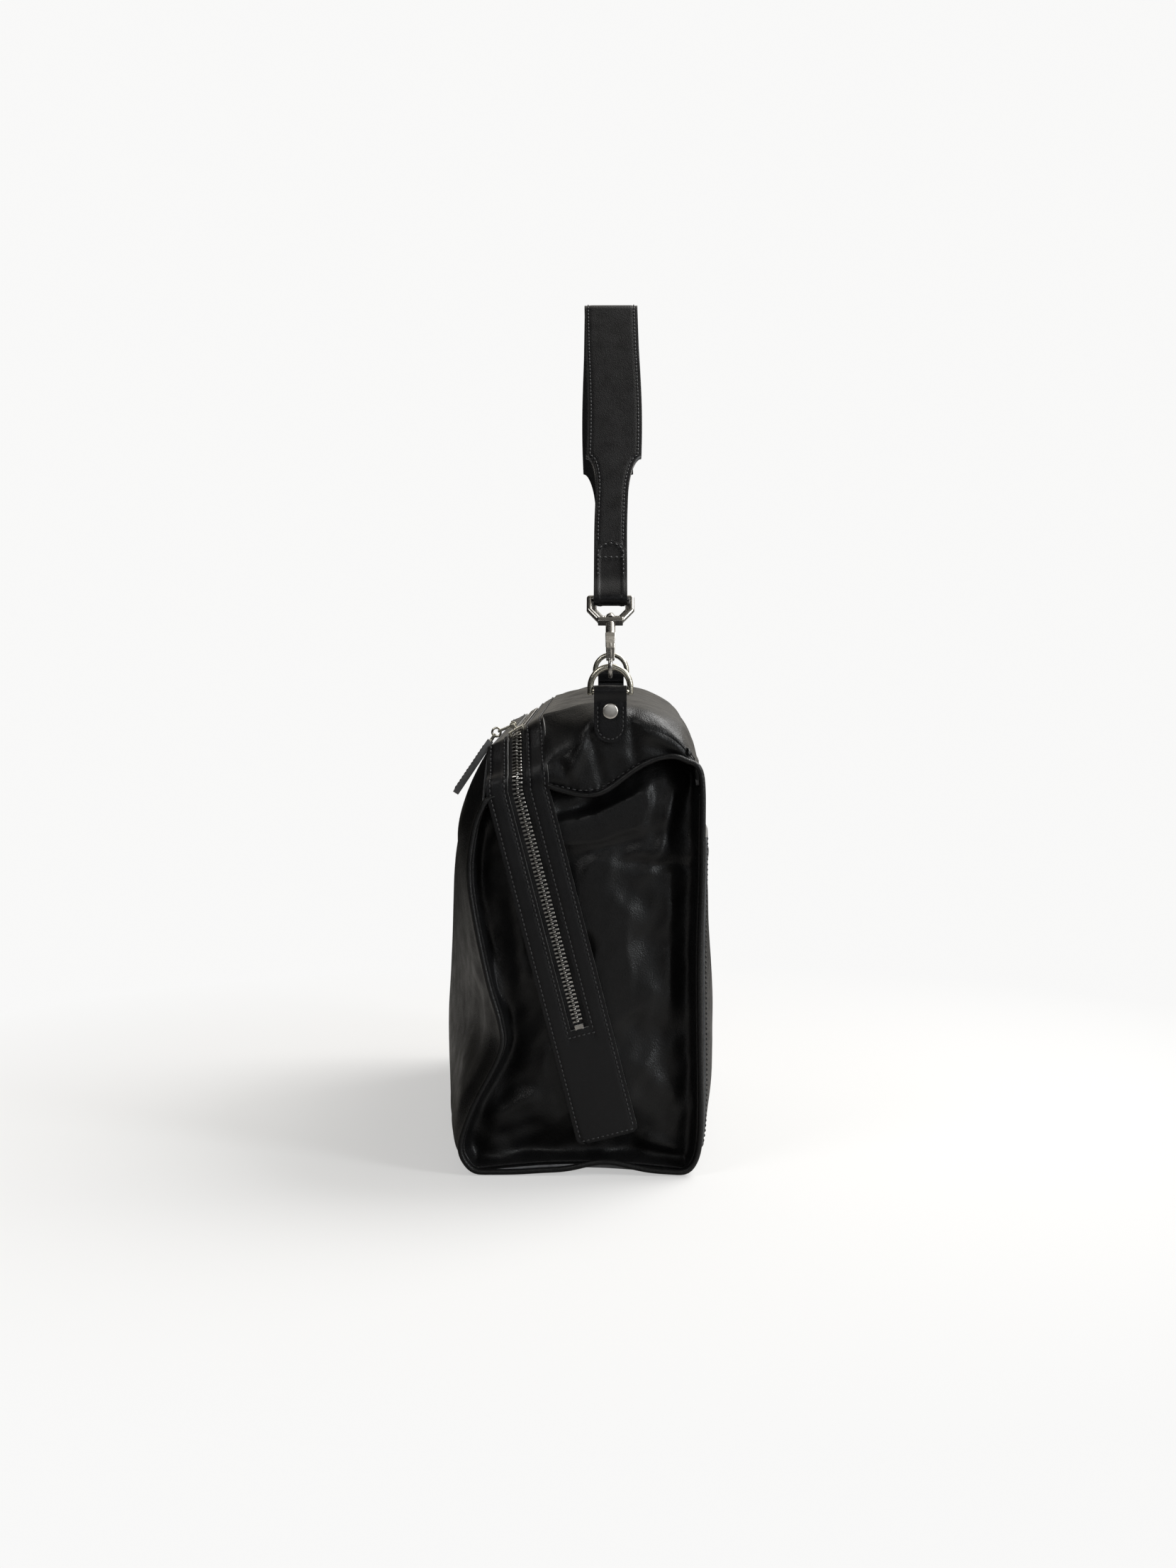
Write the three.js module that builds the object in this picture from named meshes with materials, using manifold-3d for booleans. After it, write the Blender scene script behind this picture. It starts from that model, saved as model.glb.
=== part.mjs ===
// A soft leather zip-top bag with a clip-on shoulder strap, in millimetres.
// X runs along the bag's length, -Y is the front (the zip side), +Z is up, and z = 0 is the floor.
// "near" pieces are at the +X end and "far" pieces at the -X end.

import * as THREE from "three";
import { mergeVertices } from "three/addons/utils/BufferGeometryUtils.js";
import Module from "manifold-3d";

const wasm = await Module();
wasm.setup();

// ---- Driving dimensions -------------------------------------------------------------------

const BODY_HALF = 175;            // half the length of the leather panels
const CORNER_START = 150;         // where the top starts to turn down towards an end
const BULGE_POWER = 1.55;         // how evenly the soft sides bulge along the length
const WALL = 2.4;                 // leather and its backing
const GAP = 0.5;                  // clearance between pieces that touch
const SEAM_GAP = 0.7;             // clearance between neighbouring panels

const RIM_RADIUS = 2.6;
const RIM_X = BODY_HALF + 0.4 + RIM_RADIUS;
const GUSSET_X = 162;
const FLAP_X = 172.6;
const TOP_END = 170;              // the top panel stops here and the end flap carries on
const BASE_LIFT = 4.5;            // how far the base edge arches off the floor at each end

const STRIP_WIDTH = 37;           // the leather facing that carries the zip
const STRIP_THICK = 2;
const WINDOW_HALF = 5.6;          // half the width of the slot that shows the zip
const STRIP_SLOPE = 31;           // degrees, on top of the bag
const STRIP_Y = -56;
const STRIP_Z = 262;
const STRIP_RUN = 152;            // half the length of the straight run on top
const STRIP_END_X = 176.3;        // the facing's outer face on the bag's end
const WINDOW_END_Z = 86;          // height of the slot's stitched end

const TAPE_HALF = 14;
const TAPE_THICK = 0.8;
const CHAIN_HALF = 3.1;
const CHAIN_TOP = 0.2;

const SLIDER_X = 143;
const SLIDER_HALF = 6.5;
const BRIDGE_HEIGHT = 4.2;        // the pull's pivot above the facing
const LINK_SLOPE = 23.6;          // degrees below level, towards the front
const LINK_REACH = 8.4;           // pivot to the hole that holds the pull's ring
const PULL_RING_RADIUS = 2.6;
const PULL_WIRE = 0.7;
const PULL_TAB_SLOPE = 56;
const PULL_TAB_LENGTH = 44;
const PULL_TAB_THICK = 3.4;

const RING_X = 177.5;             // plane of the D-ring
const RING_BAR_Z = 287;
const RING_HALF = 11.6;           // centre-line radius of the D-ring's bow
const RING_BOW_Z = 289.6;         // centre of the bow, and the strap's folding axis
const RING_WIRE = 1.8;
const RING_LEG_END_Z = 285;
const TAB_WIDTH = 19;
const TAB_BOTTOM_Z = 257;
const TAB_LAYERS = 3;             // two layers of leather, folded and stitched
const TAB_EYE = 2.1;
const RIVET_Z = 275.5;

const HOOK_LEAN = Math.atan2(0.6, 0.8);   // the strap leans in by this angle from vertical
const HOOK_EYE = 4.6;
const HOOK_WIRE = 1.35;
const HOOK_BOW = HOOK_EYE + HOOK_WIRE;
const HOOK_DROP = 0.6;            // the D-ring sits this far below the eye's centre
const BARREL_LOW = 22;
const BARREL_HIGH = 31.1;
const PLATE_LOW = 31.5;
const PLATE_HIGH = 34.4;
const LOOP_BAR = 49.8;            // D-ring wire to the bar that holds the strap
const LOOP_HALF = 12.3;
const LOOP_WIRE = 1.9;
const GATE_PIVOT = [-4.2, 20.4];
const SPINE_WIDTH_HIGH = 6;       // the hook's back is a cast bar that tapers towards the eye
const SPINE_WIDTH_LOW = 4.8;
const SPINE_OUTLINE = [[4.7, 0.8], [7.2, 0.8], [7.25, 8.6], [6, 14.2], [3.4, 19.4], [2.8, 23],
  [0, 23], [0.4, 18.8], [3.2, 13.6], [4.6, 8.4]];

const STRAP_NARROW = 20;
const STRAP_WIDE = 34.5;
const STRAP_LAYER = 2.2;
const LINING_LAYER = 1.2;
const TAPER_START = 81;           // along the strap from the loop bar
const SHOULDER = 111;
const TONGUE_LENGTH = 42;
const APEX_RADIUS = 8;

const BLACK_LEATHER = { color: 0x141416, roughness: 0.42, metalness: 0 };
const EDGE_LEATHER = { color: 0x1c1d20, roughness: 0.5, metalness: 0 };
const LINING_CLOTH = { color: 0x2a2723, roughness: 0.9, metalness: 0 };
const TAPE_CLOTH = { color: 0x101011, roughness: 0.85, metalness: 0 };
const BOARD = { color: 0x3a342c, roughness: 0.8, metalness: 0 };
const GUNMETAL = { color: 0x5a5852, roughness: 0.32, metalness: 1 };
const NICKEL = { color: 0xb8b2a8, roughness: 0.25, metalness: 1 };

// Outlines of the body, as [y, z] points, at an end and at mid-length.
const FRONT_END = [[-79, 0.4], [-86.5, 7], [-89.8, 18], [-82, 41], [-66, 73], [-66, 91],
  [-73.7, 119], [-83.6, 173], [-81, 205], [-75.5, 220]];
const FRONT_MID = [[-94, 0.4], [-102, 6], [-106.5, 20], [-107.5, 51], [-107, 80], [-106.5, 110],
  [-105.5, 140], [-101, 180], [-90, 219], [-73, 251]];
const BACK_END = [[43, 0.4], [49, 4.4], [53.5, 15.5], [54.8, 40], [54, 90], [53.8, 133],
  [55, 180], [55.3, 236]];
const BACK_MID = [[50, 0.4], [54.5, 5], [57, 16], [57.5, 40], [57.5, 90], [57.5, 133],
  [57.5, 185], [56, 241]];
const TOP_AT_END = [[-33, 247], [-25, 258.5], [-12, 273.5], [8, 277.5], [26, 271.5], [38, 262.5],
  [46, 251.5], [49.5, 243.5]];
const TOP_AT_MID = [[-38.8, 272.8], [-25, 276], [-6, 279], [14, 278.6], [32, 274], [43, 267],
  [49, 257], [51.4, 246]];
const FLAP_CREST = [[-34, 246.5], [-25.4, 257.5], [-16.7, 268.5], [-8, 277.5], [10, 278.5],
  [20, 275], [28.6, 269.6], [39.4, 261], [46.8, 250.6], [50, 241]];
const FLAP_HEM = [[44, 246.5], [34, 249], [23, 247], [12.5, 241], [2.6, 234.5], [-4, 228],
  [-14.7, 226], [-34, 231]];

// ---- Mesh helpers -------------------------------------------------------------------------

const group = new THREE.Group();

function addPiece(name, geometry, look, parent = group) {
  const mesh = new THREE.Mesh(geometry, new THREE.MeshStandardMaterial(look));
  mesh.name = name;
  parent.add(mesh);
  return mesh;
}

function signedVolume(points, faces) {
  let sum = 0;
  for (const [a, b, c] of faces) {
    sum += points[a].dot(new THREE.Vector3().crossVectors(points[b], points[c]));
  }
  return sum / 6;
}

// A closed mesh whose faces point out, whichever way they were listed.
function closedGeometry(points, faces) {
  const outward = signedVolume(points, faces) > 0;
  const index = faces.flatMap(([a, b, c]) => (outward ? [a, b, c] : [a, c, b]));
  const geometry = new THREE.BufferGeometry().setFromPoints(points);
  geometry.setIndex(index);
  geometry.computeVertexNormals();
  return geometry;
}

// A sheet with thickness: two grids of points, row by row, joined round their edges.
function slab(outer, inner) {
  const rows = outer.length;
  const cols = outer[0].length;
  const points = [...outer.flat(), ...inner.flat()];
  const at = (side, row, col) => side * rows * cols + row * cols + col;
  const faces = [];
  const quad = (a, b, c, d) => faces.push([a, b, c], [a, c, d]);
  for (let row = 0; row < rows - 1; row++) {
    for (let col = 0; col < cols - 1; col++) {
      quad(at(0, row, col), at(0, row, col + 1), at(0, row + 1, col + 1), at(0, row + 1, col));
      quad(at(1, row, col), at(1, row + 1, col), at(1, row + 1, col + 1), at(1, row, col + 1));
    }
    quad(at(0, row, 0), at(0, row + 1, 0), at(1, row + 1, 0), at(1, row, 0));
    quad(at(0, row + 1, cols - 1), at(0, row, cols - 1), at(1, row, cols - 1),
      at(1, row + 1, cols - 1));
  }
  for (let col = 0; col < cols - 1; col++) {
    quad(at(0, 0, col + 1), at(0, 0, col), at(1, 0, col), at(1, 0, col + 1));
    quad(at(0, rows - 1, col), at(0, rows - 1, col + 1), at(1, rows - 1, col + 1),
      at(1, rows - 1, col));
  }
  return closedGeometry(points, faces);
}

function shapeFrom(points) {
  return new THREE.Shape(points.map(([x, y]) => new THREE.Vector2(x, y)));
}

// A flat outline in [y, z], given thickness along X from xLow.
function plateAcrossX(outline, xLow, thick) {
  const geometry = new THREE.ExtrudeGeometry(shapeFrom(outline), { depth: thick, bevelEnabled: false });
  const turn = new THREE.Matrix4().set(0, 0, 1, xLow, 1, 0, 0, 0, 0, 1, 0, 0, 0, 0, 0, 1);
  return geometry.applyMatrix4(turn);
}

// A flat outline in [x, z], given thickness along Y, centred on y = 0.
function plateAcrossY(outline, thick) {
  const geometry = new THREE.ExtrudeGeometry(shapeFrom(outline), { depth: thick, bevelEnabled: false });
  const turn = new THREE.Matrix4().set(1, 0, 0, 0, 0, 0, -1, thick / 2, 0, 1, 0, 0, 0, 0, 0, 1);
  return geometry.applyMatrix4(turn);
}

function tube(points, radius, sides, steps) {
  const path = new THREE.CatmullRomCurve3(points, false, "centripetal");
  const circle = Array.from({ length: sides }, (_, i) => {
    const angle = (2 * Math.PI * i) / sides;
    return [radius * Math.cos(angle), radius * Math.sin(angle)];
  });
  return new THREE.ExtrudeGeometry(shapeFrom(circle), { steps, extrudePath: path, bevelEnabled: false });
}

// A cylinder or cone from one point to another.
function rod(from, to, radiusFrom, radiusTo = radiusFrom, sides = 16) {
  const span = new THREE.Vector3().subVectors(to, from);
  const geometry = new THREE.CylinderGeometry(radiusTo, radiusFrom, span.length(), sides);
  const turn = new THREE.Quaternion().setFromUnitVectors(new THREE.Vector3(0, 1, 0),
    span.clone().normalize());
  geometry.applyQuaternion(turn);
  const middle = from.clone().add(to).multiplyScalar(0.5);
  return geometry.translate(middle.x, middle.y, middle.z);
}

function block(low, high) {
  const geometry = new THREE.BoxGeometry(high[0] - low[0], high[1] - low[1], high[2] - low[2]);
  return geometry.translate((low[0] + high[0]) / 2, (low[1] + high[1]) / 2, (low[2] + high[2]) / 2);
}

function solid(geometry) {
  const bare = geometry.clone();
  bare.deleteAttribute("normal");
  bare.deleteAttribute("uv");
  const merged = mergeVertices(bare, 1e-4);
  const vertProperties = new Float32Array(merged.attributes.position.array);
  const triVerts = new Uint32Array(merged.index.array);
  return new wasm.Manifold(new wasm.Mesh({ numProp: 3, vertProperties, triVerts }));
}

function joined(...geometries) {
  return geometries.map(solid).reduce((whole, piece) => whole.add(piece));
}

function geometryOf(body) {
  const mesh = body.getMesh();
  const geometry = new THREE.BufferGeometry();
  geometry.setAttribute("position", new THREE.BufferAttribute(mesh.vertProperties, 3));
  geometry.setIndex(new THREE.BufferAttribute(mesh.triVerts, 1));
  geometry.computeVertexNormals();
  return geometry;
}

// The same piece for the far end: reflected in the plane x = 0.
function mirrored(geometry) {
  const copy = mergeVertices(stripped(geometry), 1e-4);
  copy.scale(-1, 1, 1);
  const index = copy.index.array;
  for (let i = 0; i < index.length; i += 3) {
    [index[i + 1], index[i + 2]] = [index[i + 2], index[i + 1]];
  }
  copy.computeVertexNormals();
  return copy;
}

function stripped(geometry) {
  const bare = geometry.clone();
  bare.deleteAttribute("normal");
  bare.deleteAttribute("uv");
  return bare;
}

function addEndPair(name, geometry, look) {
  addPiece(`${name}_near`, geometry, look);
  addPiece(`${name}_far`, mirrored(geometry), look);
}

// ---- The body's soft outline --------------------------------------------------------------

function spline(points) {
  return new THREE.SplineCurve(points.map(([y, z]) => new THREE.Vector2(y, z)));
}

function smoothstep(low, high, value) {
  const t = Math.min(Math.max((value - low) / (high - low), 0), 1);
  return t * t * (3 - 2 * t);
}

// 1 at mid-length and 0 at an end, for the sides and for the top's corner.
const sideBulge = (x) => 1 - Math.pow(Math.min(Math.abs(x) / BODY_HALF, 1), BULGE_POWER);
const topCorner = (x) => 1 - smoothstep(CORNER_START, BODY_HALF, Math.abs(x));

function blendedOutline(endPoints, midPoints, weightAt) {
  const end = spline(endPoints);
  const mid = spline(midPoints);
  return (x, t) => end.getPoint(t).lerp(mid.getPoint(t), weightAt(x, t));
}

const frontWeight = (x, t) => {
  const high = smoothstep(0.72, 0.98, t);
  return sideBulge(x) * (1 - high) + topCorner(x) * high;
};
const frontAt = blendedOutline(FRONT_END, FRONT_MID, frontWeight);
const backAt = blendedOutline(BACK_END, BACK_MID, (x) => sideBulge(x));
const topAt = blendedOutline(TOP_AT_END, TOP_AT_MID, (x) => topCorner(x));

// The outline's direction into the bag, found from its neighbours in the section.
function inwardAt(outline, x, t, side) {
  const step = 0.01;
  const before = outline(x, Math.max(t - step, 0));
  const after = outline(x, Math.min(t + step, 1));
  const along = after.sub(before).normalize();
  return new THREE.Vector2(-along.y * side, along.x * side);
}

function offsetPoint(outline, x, t, depth, side) {
  const point = outline(x, t);
  const inward = inwardAt(outline, x, t, side);
  return new THREE.Vector3(x, point.x + inward.x * depth, point.y + inward.y * depth);
}

// x stations that are closer together towards the ends.
function stations(half, count) {
  return Array.from({ length: count }, (_, i) => {
    const u = (2 * i) / (count - 1) - 1;
    return half * Math.sin((u * Math.PI) / 2);
  });
}

function panel(outline, side, half, count, tSteps, depth = 0, thick = WALL, tLow = 0, tHigh = 1) {
  const sheet = (offset) => stations(half, count).map((x) => (
    Array.from({ length: tSteps + 1 }, (_, j) => (
      offsetPoint(outline, x, tLow + ((tHigh - tLow) * j) / tSteps, offset, side)))));
  return slab(sheet(depth), sheet(depth + thick));
}

// ---- Body panels --------------------------------------------------------------------------

function basePanel() {
  const across = 10;
  const row = (x, depth) => Array.from({ length: across + 1 }, (_, j) => {
    const t = j / across;
    const front = frontAt(x, 0).x + SEAM_GAP + WALL / 2;
    const back = backAt(x, 0).x - SEAM_GAP - WALL / 2;
    const lift = BASE_LIFT * Math.sin(Math.PI * t) * smoothstep(CORNER_START, BODY_HALF, Math.abs(x));
    return new THREE.Vector3(x, front + (back - front) * t, lift + depth);
  });
  const xs = [-BODY_HALF, -168, -160, -CORNER_START, -90, -30, 30, 90, CORNER_START, 160, 168, BODY_HALF];
  return slab(xs.map((x) => row(x, 0)), xs.map((x) => row(x, WALL)));
}

function baseBoard() {
  return block([-148, -77, WALL + GAP], [148, 44, WALL + GAP + 1.6]);
}

// Fabric lining: one sheet down the front, across the base and up the back.
function liningSheet() {
  const depth = WALL + 1.3;
  const floor = WALL + 2.6;
  const count = 12;
  const rowAt = (x, extra) => {
    const row = [];
    for (let j = 0; j <= count; j++) {
      row.push(offsetPoint(frontAt, x, 0.9 - (0.78 * j) / count, depth + extra, -1));
    }
    const start = row[count];
    const end = offsetPoint(backAt, x, 0.16, depth + extra, 1);
    for (let j = 1; j < 6; j++) {
      const y = start.y + ((end.y - start.y) * j) / 6;
      row.push(new THREE.Vector3(x, y, floor + extra));
    }
    for (let j = 0; j <= 8; j++) {
      row.push(offsetPoint(backAt, x, 0.16 + (0.8 * j) / 8, depth + extra, 1));
    }
    return row;
  };
  const xs = stations(GUSSET_X - 3, 9);
  return slab(xs.map((x) => rowAt(x, 0)), xs.map((x) => rowAt(x, 0.8)));
}

// The recessed end panel, fitted inside the wrap of front, base and back.
function endGusset() {
  const depth = WALL + 2;
  const outline = [];
  for (let t = 0.86; t >= 0.06; t -= 0.05) {
    const point = offsetPoint(frontAt, GUSSET_X, t, depth, -1);
    outline.push([point.y, point.z]);
  }
  outline.push([frontAt(GUSSET_X, 0).x + 8, WALL + SEAM_GAP + BASE_LIFT]);
  outline.push([backAt(GUSSET_X, 0).x - 6, WALL + SEAM_GAP + BASE_LIFT]);
  for (let t = 0.12; t <= 0.95; t += 0.08) {
    const point = offsetPoint(backAt, GUSSET_X, t, depth, 1);
    outline.push([point.y, point.z]);
  }
  outline.push([42, 246], [20, 258], [-10, 258], [-33, 242], [-55, 230]);
  return plateAcrossX(outline, GUSSET_X, WALL);
}

function endFlap() {
  const plate = solid(plateAcrossX([...FLAP_CREST, ...FLAP_HEM], FLAP_X, WALL));
  const hole = rod(new THREE.Vector3(FLAP_X - 5, 0, RIVET_Z), new THREE.Vector3(FLAP_X + 8, 0, RIVET_Z), 1.75);
  return geometryOf(plate.subtract(solid(hole)));
}

// The bound edge that stands round the end: down the front, under the base and up the back.
function endRim() {
  const points = [];
  const inset = WALL / 2;
  for (let t = 0.97; t >= 0.03; t -= 0.0783) {
    points.push(offsetPoint(frontAt, BODY_HALF, t, inset, -1));
  }
  for (const t of [0.12, 0.5, 0.88]) {
    const y = frontAt(BODY_HALF, 0).x * (1 - t) + backAt(BODY_HALF, 0).x * t;
    points.push(new THREE.Vector3(0, y, RIM_RADIUS + GAP + BASE_LIFT * Math.sin(Math.PI * t) * 0.8));
  }
  for (let t = 0.05; t <= 0.99; t += 0.0783) {
    points.push(offsetPoint(backAt, BODY_HALF, t, inset, 1));
  }
  const path = points.map((p) => new THREE.Vector3(RIM_X, p.y, Math.max(p.z, RIM_RADIUS + GAP)));
  return tube(path, RIM_RADIUS, 8, 54);
}

// A slip pocket on the back: sewn at its sides and foot, standing off the back at its mouth.
function backPocket() {
  const half = 150;
  const low = 0.42;
  const high = 0.9;
  const standOff = 6.4;
  const sheet = (extra) => stations(half, 13).map((x) => (
    Array.from({ length: 11 }, (_, j) => {
      const u = j / 10;
      const t = low * 0.55 + (high - low * 0.55) * u;
      const side = 1 - Math.pow(Math.abs(x) / half, 6);
      const gap = GAP + standOff * side * Math.min(1, 2.4 * u);
      return offsetPoint(backAt, x, t, -(gap + extra), 1);
    })));
  return slab(sheet(0), sheet(1.8));
}

// ---- The zip and its leather facing -------------------------------------------------------

const slope = THREE.MathUtils.degToRad(STRIP_SLOPE);
const TOP_ACROSS = new THREE.Vector3(0, Math.cos(slope), Math.sin(slope));
const END_ACROSS = new THREE.Vector3(0, 0.968, 0.25);
const STRIP_TOP = new THREE.Vector3(STRIP_END_X, -54.5, 229);     // where the end run starts
const STRIP_FOOT = new THREE.Vector3(STRIP_END_X - 3.3, -1.1, 21.5);
const STRIP_CORNER = [[176, 234.6], [173.6, 239.2], [169, 243], [163.6, 248.6], [158.4, 255.4],
  [154, 260.2], [STRIP_RUN - 3, STRIP_Z]];                           // x and z, from the end up onto the top
const CORNER_STEPS = 14;

// Points along the middle of the facing, from the near foot over the top to the far foot.
function stripPath() {
  const near = [];
  for (let i = 0; i <= 8; i++) {
    near.push({ p: STRIP_FOOT.clone().lerp(STRIP_TOP, i / 8), turn: 0 });
  }
  const corner = spline([[STRIP_TOP.x, STRIP_TOP.z], ...STRIP_CORNER]);
  for (let i = 1; i <= CORNER_STEPS; i++) {
    const t = i / CORNER_STEPS;
    const { x, y: z } = corner.getPoint(t);
    const y = STRIP_TOP.y + (STRIP_Y - STRIP_TOP.y) * smoothstep(0, 1, t);
    near.push({ p: new THREE.Vector3(x, y, z), turn: Math.min(t / 0.75, 1) });
  }
  const far = near.map(({ p, turn }) => ({ p: new THREE.Vector3(-p.x, p.y, p.z), turn })).reverse();
  const middle = [-0.5, 0, 0.5].map((u) => (
    { p: new THREE.Vector3(-u * STRIP_RUN, STRIP_Y, STRIP_Z), turn: 1 }));
  const all = [...near, ...middle, ...far];
  return all.map(({ p, turn }, i) => {
    const before = all[Math.max(i - 1, 0)].p;
    const after = all[Math.min(i + 1, all.length - 1)].p;
    const along = after.clone().sub(before).normalize();
    const across = END_ACROSS.clone().lerp(TOP_ACROSS, smoothstep(0, 1, turn)).normalize();
    across.addScaledVector(along, -across.dot(along)).normalize();
    return { p, across, out: new THREE.Vector3().crossVectors(across, along).normalize() };
  });
}

const STRIP = stripPath();
const outSign = STRIP[Math.floor(STRIP.length / 2)].out.z > 0 ? 1 : -1;

// A band that follows the facing, between two distances across it and two depths under it.
function bandAlong(frames, acrossLow, acrossHigh, top, bottom, cols = 2) {
  const sheet = (level) => frames.map(({ p, across, out }) => (
    Array.from({ length: cols }, (_, j) => (
      p.clone()
        .addScaledVector(across, acrossLow + ((acrossHigh - acrossLow) * j) / (cols - 1))
        .addScaledVector(out, level * outSign)))));
  return slab(sheet(top), sheet(bottom));
}

function frameAtHeight(z) {
  const t = (z - STRIP_FOOT.z) / (STRIP_TOP.z - STRIP_FOOT.z);
  return { ...STRIP[0], p: STRIP_FOOT.clone().lerp(STRIP_TOP, t) };
}

const flipped = (frame) => {
  const flip = (v) => new THREE.Vector3(-v.x, v.y, v.z);
  return { p: flip(frame.p), across: flip(frame.across), out: flip(frame.out) };
};

// The stretch that has the slot: everything above the slot's end, on both ends of the bag.
function slottedFrames(z) {
  const start = frameAtHeight(z);
  const inside = STRIP.filter(({ p }) => p.z > z + 2);
  return [start, ...inside, flipped(start)];
}

function addZip() {
  const edge = STRIP_WIDTH / 2;
  const slotted = slottedFrames(WINDOW_END_Z);
  addPiece("zip_band_front", bandAlong(slotted, -edge, -WINDOW_HALF, 0, -STRIP_THICK, 5), BLACK_LEATHER);
  addPiece("zip_band_back", bandAlong(slotted, WINDOW_HALF, edge, 0, -STRIP_THICK, 5), BLACK_LEATHER);
  const tail = [STRIP[0], STRIP[1], STRIP[2], frameAtHeight(WINDOW_END_Z - GAP)];
  addEndPair("zip_tail", bandAlong(tail, -edge, edge, 0, -STRIP_THICK, 5), BLACK_LEATHER);

  const tapeTop = -STRIP_THICK - SEAM_GAP;
  const tapeEnd = slottedFrames(WINDOW_END_Z - 8);
  addPiece("zip_tape_front", bandAlong(tapeEnd, -TAPE_HALF, -0.2, tapeTop, tapeTop - TAPE_THICK, 5), TAPE_CLOTH);
  addPiece("zip_tape_back", bandAlong(tapeEnd, 0.2, TAPE_HALF, tapeTop, tapeTop - TAPE_THICK, 5), TAPE_CLOTH);

  const chainFrames = slottedFrames(WINDOW_END_Z + 4.5);
  addPiece("zip_chain_front", bandAlong(chainFrames, -CHAIN_HALF, -0.2, CHAIN_TOP, -STRIP_THICK), GUNMETAL);
  addPiece("zip_chain_back", bandAlong(chainFrames, 0.2, CHAIN_HALF, CHAIN_TOP, -STRIP_THICK), GUNMETAL);
  const stop = [frameAtHeight(WINDOW_END_Z + 1), frameAtHeight(WINDOW_END_Z + 4)];
  addEndPair("zip_stop", bandAlong(stop, -2.6, 2.6, 0.4, -STRIP_THICK), GUNMETAL);
}

// ---- Slider and pull ----------------------------------------------------------------------

function sliderBody() {
  const plate = block([-SLIDER_HALF, -5, 0.6], [SLIDER_HALF, 5, 1.8]);
  const sides = [-1, 1].map((s) => block([-SLIDER_HALF, Math.min(s * 3.6, s * 5), -1.6],
    [SLIDER_HALF, Math.max(s * 3.6, s * 5), 0.8]));
  const posts = [-1, 1].map((s) => block([Math.min(s * 3.6, s * 5), -1.1, 1.6],
    [Math.max(s * 3.6, s * 5), 1.1, BRIDGE_HEIGHT + 0.9]));
  const bar = rod(new THREE.Vector3(-4.2, 0, BRIDGE_HEIGHT), new THREE.Vector3(4.2, 0, BRIDGE_HEIGHT), 0.85);
  return geometryOf(joined(plate, ...sides, ...posts, bar));
}

// The flat link: an eye along X on the slider's bridge, and a hole for the pull's ring.
function pullLink() {
  const eye = rod(new THREE.Vector3(-2.6, 0, 0), new THREE.Vector3(2.6, 0, 0), 2.1);
  const arm = block([-2.6, -LINK_REACH - 1.5, -0.8], [2.6, -1, 0.8]);
  const eyeHole = rod(new THREE.Vector3(-4, 0, 0), new THREE.Vector3(4, 0, 0), 1.3);
  const ringHole = rod(new THREE.Vector3(0, -LINK_REACH, -4), new THREE.Vector3(0, -LINK_REACH, 4), 1.2);
  const neck = block([-1.9, -5.6, -2], [-0.7, -3.2, 2]);
  const neckTwin = block([0.7, -5.6, -2], [1.9, -3.2, 2]);
  return geometryOf(joined(eye, arm).subtract(joined(eyeHole, ringHole, neck, neckTwin)));
}

function pullRing() {
  const ring = new THREE.TorusGeometry(PULL_RING_RADIUS, PULL_WIRE, 8, 20);
  return ring.rotateY(Math.PI / 2);
}

// The leather pull, with the small metal collar that holds it on the ring.
function pullTab() {
  const collar = block([-1.6, -8, -0.8], [1.6, -1, 0.8]);
  const hole = rod(new THREE.Vector3(0, -PULL_RING_RADIUS, -3), new THREE.Vector3(0, -PULL_RING_RADIUS, 3), 1.1);
  const end = PULL_TAB_LENGTH;
  const outline = shapeFrom([[-2.2, -6.5], [2.2, -6.5], [4.4, -14], [5, -end + 3], [3.4, -end],
    [-3.4, -end], [-5, -end + 3], [-4.4, -14]]);
  const leather = new THREE.ExtrudeGeometry(outline, { depth: PULL_TAB_THICK, bevelEnabled: false });
  leather.translate(0, 0, -PULL_TAB_THICK / 2);
  return geometryOf(joined(collar, leather).subtract(solid(hole)));
}

function addSlider() {
  const carriage = new THREE.Group();
  carriage.position.set(SLIDER_X, STRIP_Y, STRIP_Z);
  carriage.rotation.x = slope;
  group.add(carriage);
  addPiece("slider", sliderBody(), GUNMETAL, carriage);

  const pivot = new THREE.Group();
  pivot.position.set(SLIDER_X, STRIP_Y - BRIDGE_HEIGHT * Math.sin(slope),
    STRIP_Z + BRIDGE_HEIGHT * Math.cos(slope));
  pivot.rotation.x = THREE.MathUtils.degToRad(LINK_SLOPE);
  group.add(pivot);
  addPiece("pull_link", pullLink(), GUNMETAL, pivot);

  const ringCentre = new THREE.Group();
  ringCentre.position.y = -LINK_REACH - PULL_RING_RADIUS;
  pivot.add(ringCentre);
  addPiece("pull_ring", pullRing(), GUNMETAL, ringCentre);

  const hanging = new THREE.Group();
  hanging.rotation.x = THREE.MathUtils.degToRad(PULL_TAB_SLOPE - LINK_SLOPE);
  ringCentre.add(hanging);
  addPiece("pull_tab", pullTab(), BLACK_LEATHER, hanging);
}

// ---- D-rings, their tabs and rivets -------------------------------------------------------

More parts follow.
